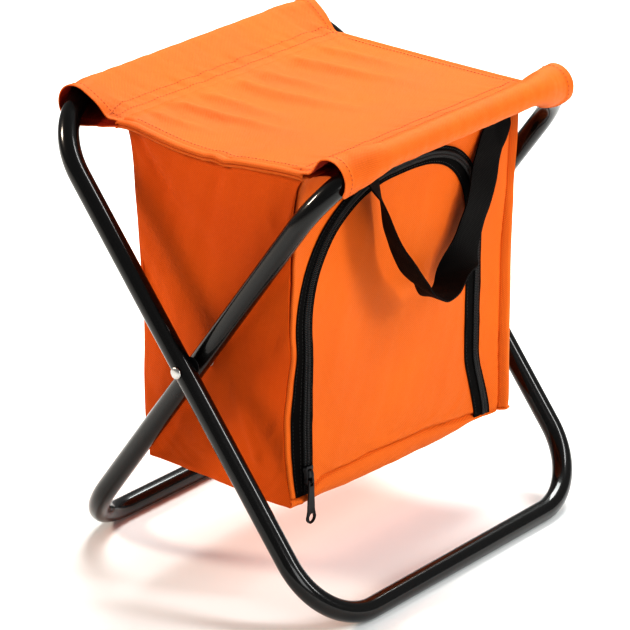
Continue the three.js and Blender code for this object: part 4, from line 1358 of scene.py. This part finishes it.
# %% [markdown]
# ## The slider
# The slider is a small die-cast body. Its front plate is wide at the shoulders and narrow at the
# tail, its edges curl back over the coil, and a bridge on top holds the tab. The plate is a grid
# whose half width follows its height; the bridge is a rod with an oval section on an arched path.

# %% Slider body and its bridge
SLIDER_SHAPE = [(0, 0.62), (0.1, 0.78), (0.35, 0.72), (0.62, 0.86), (0.85, 1.0), (0.95, 0.92),
                (1, 0.72)]  # share of the height and of the half width
low, high = box_mm("zip_slider")
middle_y = (low[1] + high[1]) / 2
half_width = (high[1] - low[1]) / 2
t = np.linspace(0, 1, 26)[:, None]
u = np.linspace(-1, 1, 25)[None, :]
y = middle_y + half_width * through(SLIDER_SHAPE, t[:, 0])[:, None] * np.sign(u) * np.abs(u) ** 0.85
z = low[2] + (high[2] - low[2]) * (t + 0.02 * (1 - u**2) * (t - 0.5))
curl = smooth(0.72, 1.0, np.abs(u)) * 2.4
face = low[0] + 3.2 + 0 * y
crown = 0.35 * (1 - u**2) - curl - 0.35 * smooth(0.9, 1, np.abs(2 * t - 1))
outer = np.stack([face + crown, y, z], axis=-1)
inner = np.stack([face + crown - 1.0, middle_y + (y - middle_y) * 0.9, z], axis=-1)
slider = slab("zip_slider_body", outer, inner, zip_metal)


def rod(name, path, side, half_side, half_up, material, around=14):
    """A rod along a path in a plane: at each point an oval, half_side wide along the plane's normal
    and half_up high square to both, with a flat end at each end of the path."""
    along = np.gradient(path, axis=0)
    up = np.cross(along, side)
    up /= np.linalg.norm(up, axis=1, keepdims=True)
    turn = 2 * np.pi * np.arange(around)[:, None] / around
    oval = half_side * np.cos(turn) * np.asarray(side, float) + half_up * np.sin(turn) * up[:, None]
    points = path[:, None] + oval
    faces = grid_faces(len(path), around, close_columns=True)
    ends = [np.arange(around)[::-1], np.arange(around) + (len(path) - 1) * around]
    normal = np.cross(points[1, 1] - points[1, 0], points[2, 0] - points[1, 0])
    if normal @ (points[1, 0] - path[1]) < 0:
        faces, ends = faces[:, ::-1], [e[::-1] for e in ends]
    return put_mesh(name, points, faces.tolist() + [e.tolist() for e in ends], material)


a = np.linspace(0, np.pi, 18)
bridge_z = low[2] + 1.9 + (high[2] - low[2] - 5.0) * (1 - np.cos(a)) / 2
bridge_x = low[0] + 2.9 + (high[0] - low[0] - 3.5) * np.sin(a) ** 0.45
path = np.stack([bridge_x, middle_y + 0 * a, bridge_z], axis=1)
bridge = rod("zip_slider_bridge", path, (0, 1, 0), 1.1, 0.6, zip_metal)
for piece in (slider, bridge):
    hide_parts("zip_slider")
    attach(piece, "zip_slider")
finish_node("zip_pull_tab", zip_metal)
print("slider is", np.round(high - low, 1).tolist(), "mm")

# %% [markdown]
# ## The carrying strap
# The strap is one length of webbing, sewn to the front under the seat at both ends. It hangs down,
# turns over at the bottom and comes back up, so its width faces different ways along its length.
# Both of its edges are smooth curves through a few points, and a flat section joins them.

# %% Strap
STRAP_EDGES = [  # x, y, z of one edge and of the other, from the far end to the near one
    (77.0, 98.5, 334.0, 77.0, 124.5, 322.0), (77.2, 97.5, 322.0, 76.8, 123.3, 307.5),
    (77.3, 95.7, 315.7, 76.6, 121.1, 301.6), (77.4, 86.3, 300.2, 78.4, 111.9, 285.0),
    (80.3, 73.6, 280.4, 83.2, 99.1, 264.9), (84.2, 64.9, 267.8, 84.8, 89.8, 251.4),
    (86.1, 55.2, 253.4, 86.2, 80.0, 236.6), (86.6, 44.9, 239.3, 89.3, 70.1, 222.3),
    (84.8, 21.6, 205.1, 111.1, 30.3, 217.3), (87.5, 13.8, 204.7, 114.5, 21.4, 215.4),
    (89.4, 6.1, 205.3, 117.6, 12.3, 213.4), (89.8, -0.5, 208.8, 119.2, 3.1, 212.3),
    (90.0, -4.6, 214.4, 119.8, -5.6, 211.9), (90.5, -8.2, 220.5, 119.5, -13.4, 215.6),
    (89.8, -14.9, 225.3, 118.9, -21.2, 221.8), (89.0, -21.6, 232.1, 118.3, -27.6, 230.9),
    (86.8, -30.9, 250.2, 115.1, -40.6, 250.6), (84.0, -36.1, 269.3, 109.7, -51.5, 270.6),
    (81.6, -37.3, 287.3, 103.5, -57.6, 290.6), (80.1, -37.3, 295.4, 99.5, -59.8, 299.6),
    (78.8, -37.2, 302.5, 94.3, -62.4, 306.9), (77.6, -36.8, 308.7, 89.2, -63.7, 313.3),
    (77.1, -36.7, 316.0, 81.0, -66.0, 320.2), (75.6, -36.6, 326.0, 76.2, -66.5, 328.0),
    (75.4, -36.6, 334.0, 75.4, -66.6, 335.0),
]
rows = np.array(STRAP_EDGES)
gaps = np.linalg.norm(np.diff((rows[:, :3] + rows[:, 3:]) / 2, axis=0), axis=1)
places = np.concatenate([[0], np.cumsum(gaps)])
t = np.linspace(0, places[-1], 320)
ends = through(np.column_stack([places, rows]), t)
path = (ends[:, :3] + ends[:, 3:]) / 2
aside = ends[:, 3:] - ends[:, :3]
aside /= np.linalg.norm(aside, axis=1, keepdims=True)
facing = np.cross(np.gradient(path, axis=0), aside)
facing /= np.linalg.norm(facing, axis=1, keepdims=True)
w = np.linspace(-1, 1, 15)
edge = 15.0 * w
station = np.linspace(0, 1, len(t))[:, None]
fade = smooth(0, 0.1, station) * smooth(1, 0.9, station)
bow = 0.5 * w**2 + 0.5 * ripple(station * 420 + 8 * w, 90, 0.9) * fade
centre = path[:, None] + aside[:, None] * edge[None, :, None] + facing[:, None] * bow[..., None]
on_cloth = on_front(centre[..., 1], np.clip(centre[..., 2], 90, 336), 1.1)[..., 0]
centre[..., 0] = np.maximum(centre[..., 0], on_cloth)
half_thick = (0.8 - 0.25 * smooth(0.8, 1, np.abs(w)))[None, :, None] * facing[:, None]
steps = np.linalg.norm(np.diff(path, axis=0), axis=1)
length = np.concatenate([[0], np.cumsum(steps)])[:, None]
uv = np.stack(np.broadcast_arrays(edge * MM, length * MM), axis=-1)
strap = slab("carrying_strap", centre + half_thick, centre - half_thick, web_black, uv)
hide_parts("carry_strap")


def with_strap(piece):
    """Bakes a piece of the strap's place into its mesh."""
    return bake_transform(piece)


with_strap(strap)

# %% Stitches at the strap's ends
strap_threads = []
for number, (first, last) in enumerate(((2, 13), (len(t) - 14, len(t) - 3))):
    lines = [centre[k, 2:11] + facing[k] * 0.86 for k in (first, last)]
    lines += [centre[first:last, k] + facing[first:last] * 0.86 for k in (2, 10)]
    for k, line in enumerate(lines):
        name = "strap_stitches_%d_%d" % (number, k)
        strap_threads.append(stitch_row(name, line, (1, 0, 0), black_thread, 2.6, 2.0, 0.55))
for piece in strap_threads:
    with_strap(piece)

# %% [markdown]
# ## Foam and foil in the walls
# Behind each wall lies a sheet of foam, and behind that the foil. Both fill the boxes that the
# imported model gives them, taken through the same bending function as the walls. The foil bulges a
# little between its seams and is never quite flat.

# %% Lining of the flat walls
def layer(name, node, material, axis, inward, puff=0.0):
    """A slab that fills a node's box: its outer face is the side away from the bag's middle, its
    inner face the other, and both are bent with the bag. inward is the side that faces the food."""
    low, high = box_mm(node)
    others = [k for k in range(3) if k != axis]
    u, v = np.meshgrid(*[np.linspace(low[k] + 4, high[k] - 4, 60) for k in others])
    su, sv = np.linspace(-1, 1, 60)[None, :], np.linspace(-1, 1, 60)[:, None]
    wave = 0.7 + 0.5 * ripple(u + 0.4 * v, 37, axis + 1.0) + 0.4 * ripple(v - 0.6 * u, 29, axis + 2.0)
    wave = puff * wave * ((1 - su**4) * (1 - sv**4))
    sides = (low[axis], high[axis]) if inward > 0 else (high[axis], low[axis])
    grids = []
    for value in (sides[0], sides[1] + inward * wave):
        place = [u, v]
        place.insert(axis, value)
        grids.append(shaped(*place))
    piece = slab(name, *grids, material)
    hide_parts(node)
    return piece


SIDES = (("back", 0, 1), ("near_side", 1, 1), ("far_side", 1, -1), ("bottom", 2, 1), ("top", 2, -1))
for part, axis, inward in SIDES:
    sheet_foam = layer("foam_sheet_" + part, "foam_" + part, foam, axis, inward)
    sheet_foil = layer("foil_" + part, "liner_" + part, foil, axis, inward, 0.9)
    for piece in (sheet_foam, sheet_foil):
        if part == "back":
            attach(piece, "bag_back")
        else:
            between_back_and_front(piece)

# %% Lining of the front and the door
low, high = box_mm("foam_front")
s = places_along((0, CORNER_NEAR, 60), (CORNER_NEAR, CORNER_FAR, 40), (CORNER_FAR, 3, 60))
inner_y, inner_z = arch(s, 3, 3, 3, 88, 88)
border_y = np.interp(s, corners, [low[1] + 5, low[1] + 5, high[1] - 5, high[1] - 5])
border_z = np.interp(s, corners, [88, high[2] - 4, high[2] - 4, 88])
inner_y = np.minimum(inner_y, high[1] - 12)
r = np.linspace(0, 1, 14)[:, None]
y, z = inner_y + (border_y - inner_y) * r, inner_z + (border_z - inner_z) * r
foam_front = slab("foam_sheet_front", shaped(high[0], y, z), shaped(low[0], y, z), foam)
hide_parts("foam_front")
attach(foam_front, "bag_front")

DOOR_FOAM_FOOT = 114.3
low, high = box_mm("foam_door")
y, z, border = door_grid(9.0, 60, 60)
share = (z.max() - DOOR_FOAM_FOOT) / (z.max() - z.min(axis=0))
z = DOOR_FOAM_FOOT + (z - z.min(axis=0)) * share
foam_door = slab("foam_sheet_door", shaped(high[0], y, z), shaped(low[0], y, z), foam)
low, high = box_mm("liner_door")
crinkle = 0.6 + 0.5 * ripple(y + 0.5 * z, 33, 0.5) + 0.4 * ripple(z - 0.6 * y, 27, 1.5)
crinkle = crinkle * smooth(0, 12, border)
foil_door = slab("foil_door", shaped(high[0], y, z), shaped(low[0] - crinkle, y, z), foil)
for piece, node in ((foam_door, "foam_door"), (foil_door, "liner_door")):
    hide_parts(node)
    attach(piece, "door")

# %% [markdown]


# %% [markdown]
# ## The floor
# The floor is a wide pale plane.

# %% Floor
FLOOR_HALF = 8000.0
corners = FLOOR_HALF * np.array([[-1, -1, 0], [1, -1, 0], [1, 1, 0], [-1, 1, 0]])
floor_finish, tree, shader = new_material("floor", "nylon")
grain = noise(tree, add(tree, "TexCoord").outputs["Object"], 3.0)["Fac"]
tone = mix(tree, grain, (0.90, 0.90, 0.90, 1), (0.93, 0.93, 0.93, 1))
feed(tree, shader, {"Base Color": tone, "Roughness": 0.75})
ground = put_mesh("floor", corners, [[0, 1, 2, 3]], floor_finish)
del ground["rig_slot"]
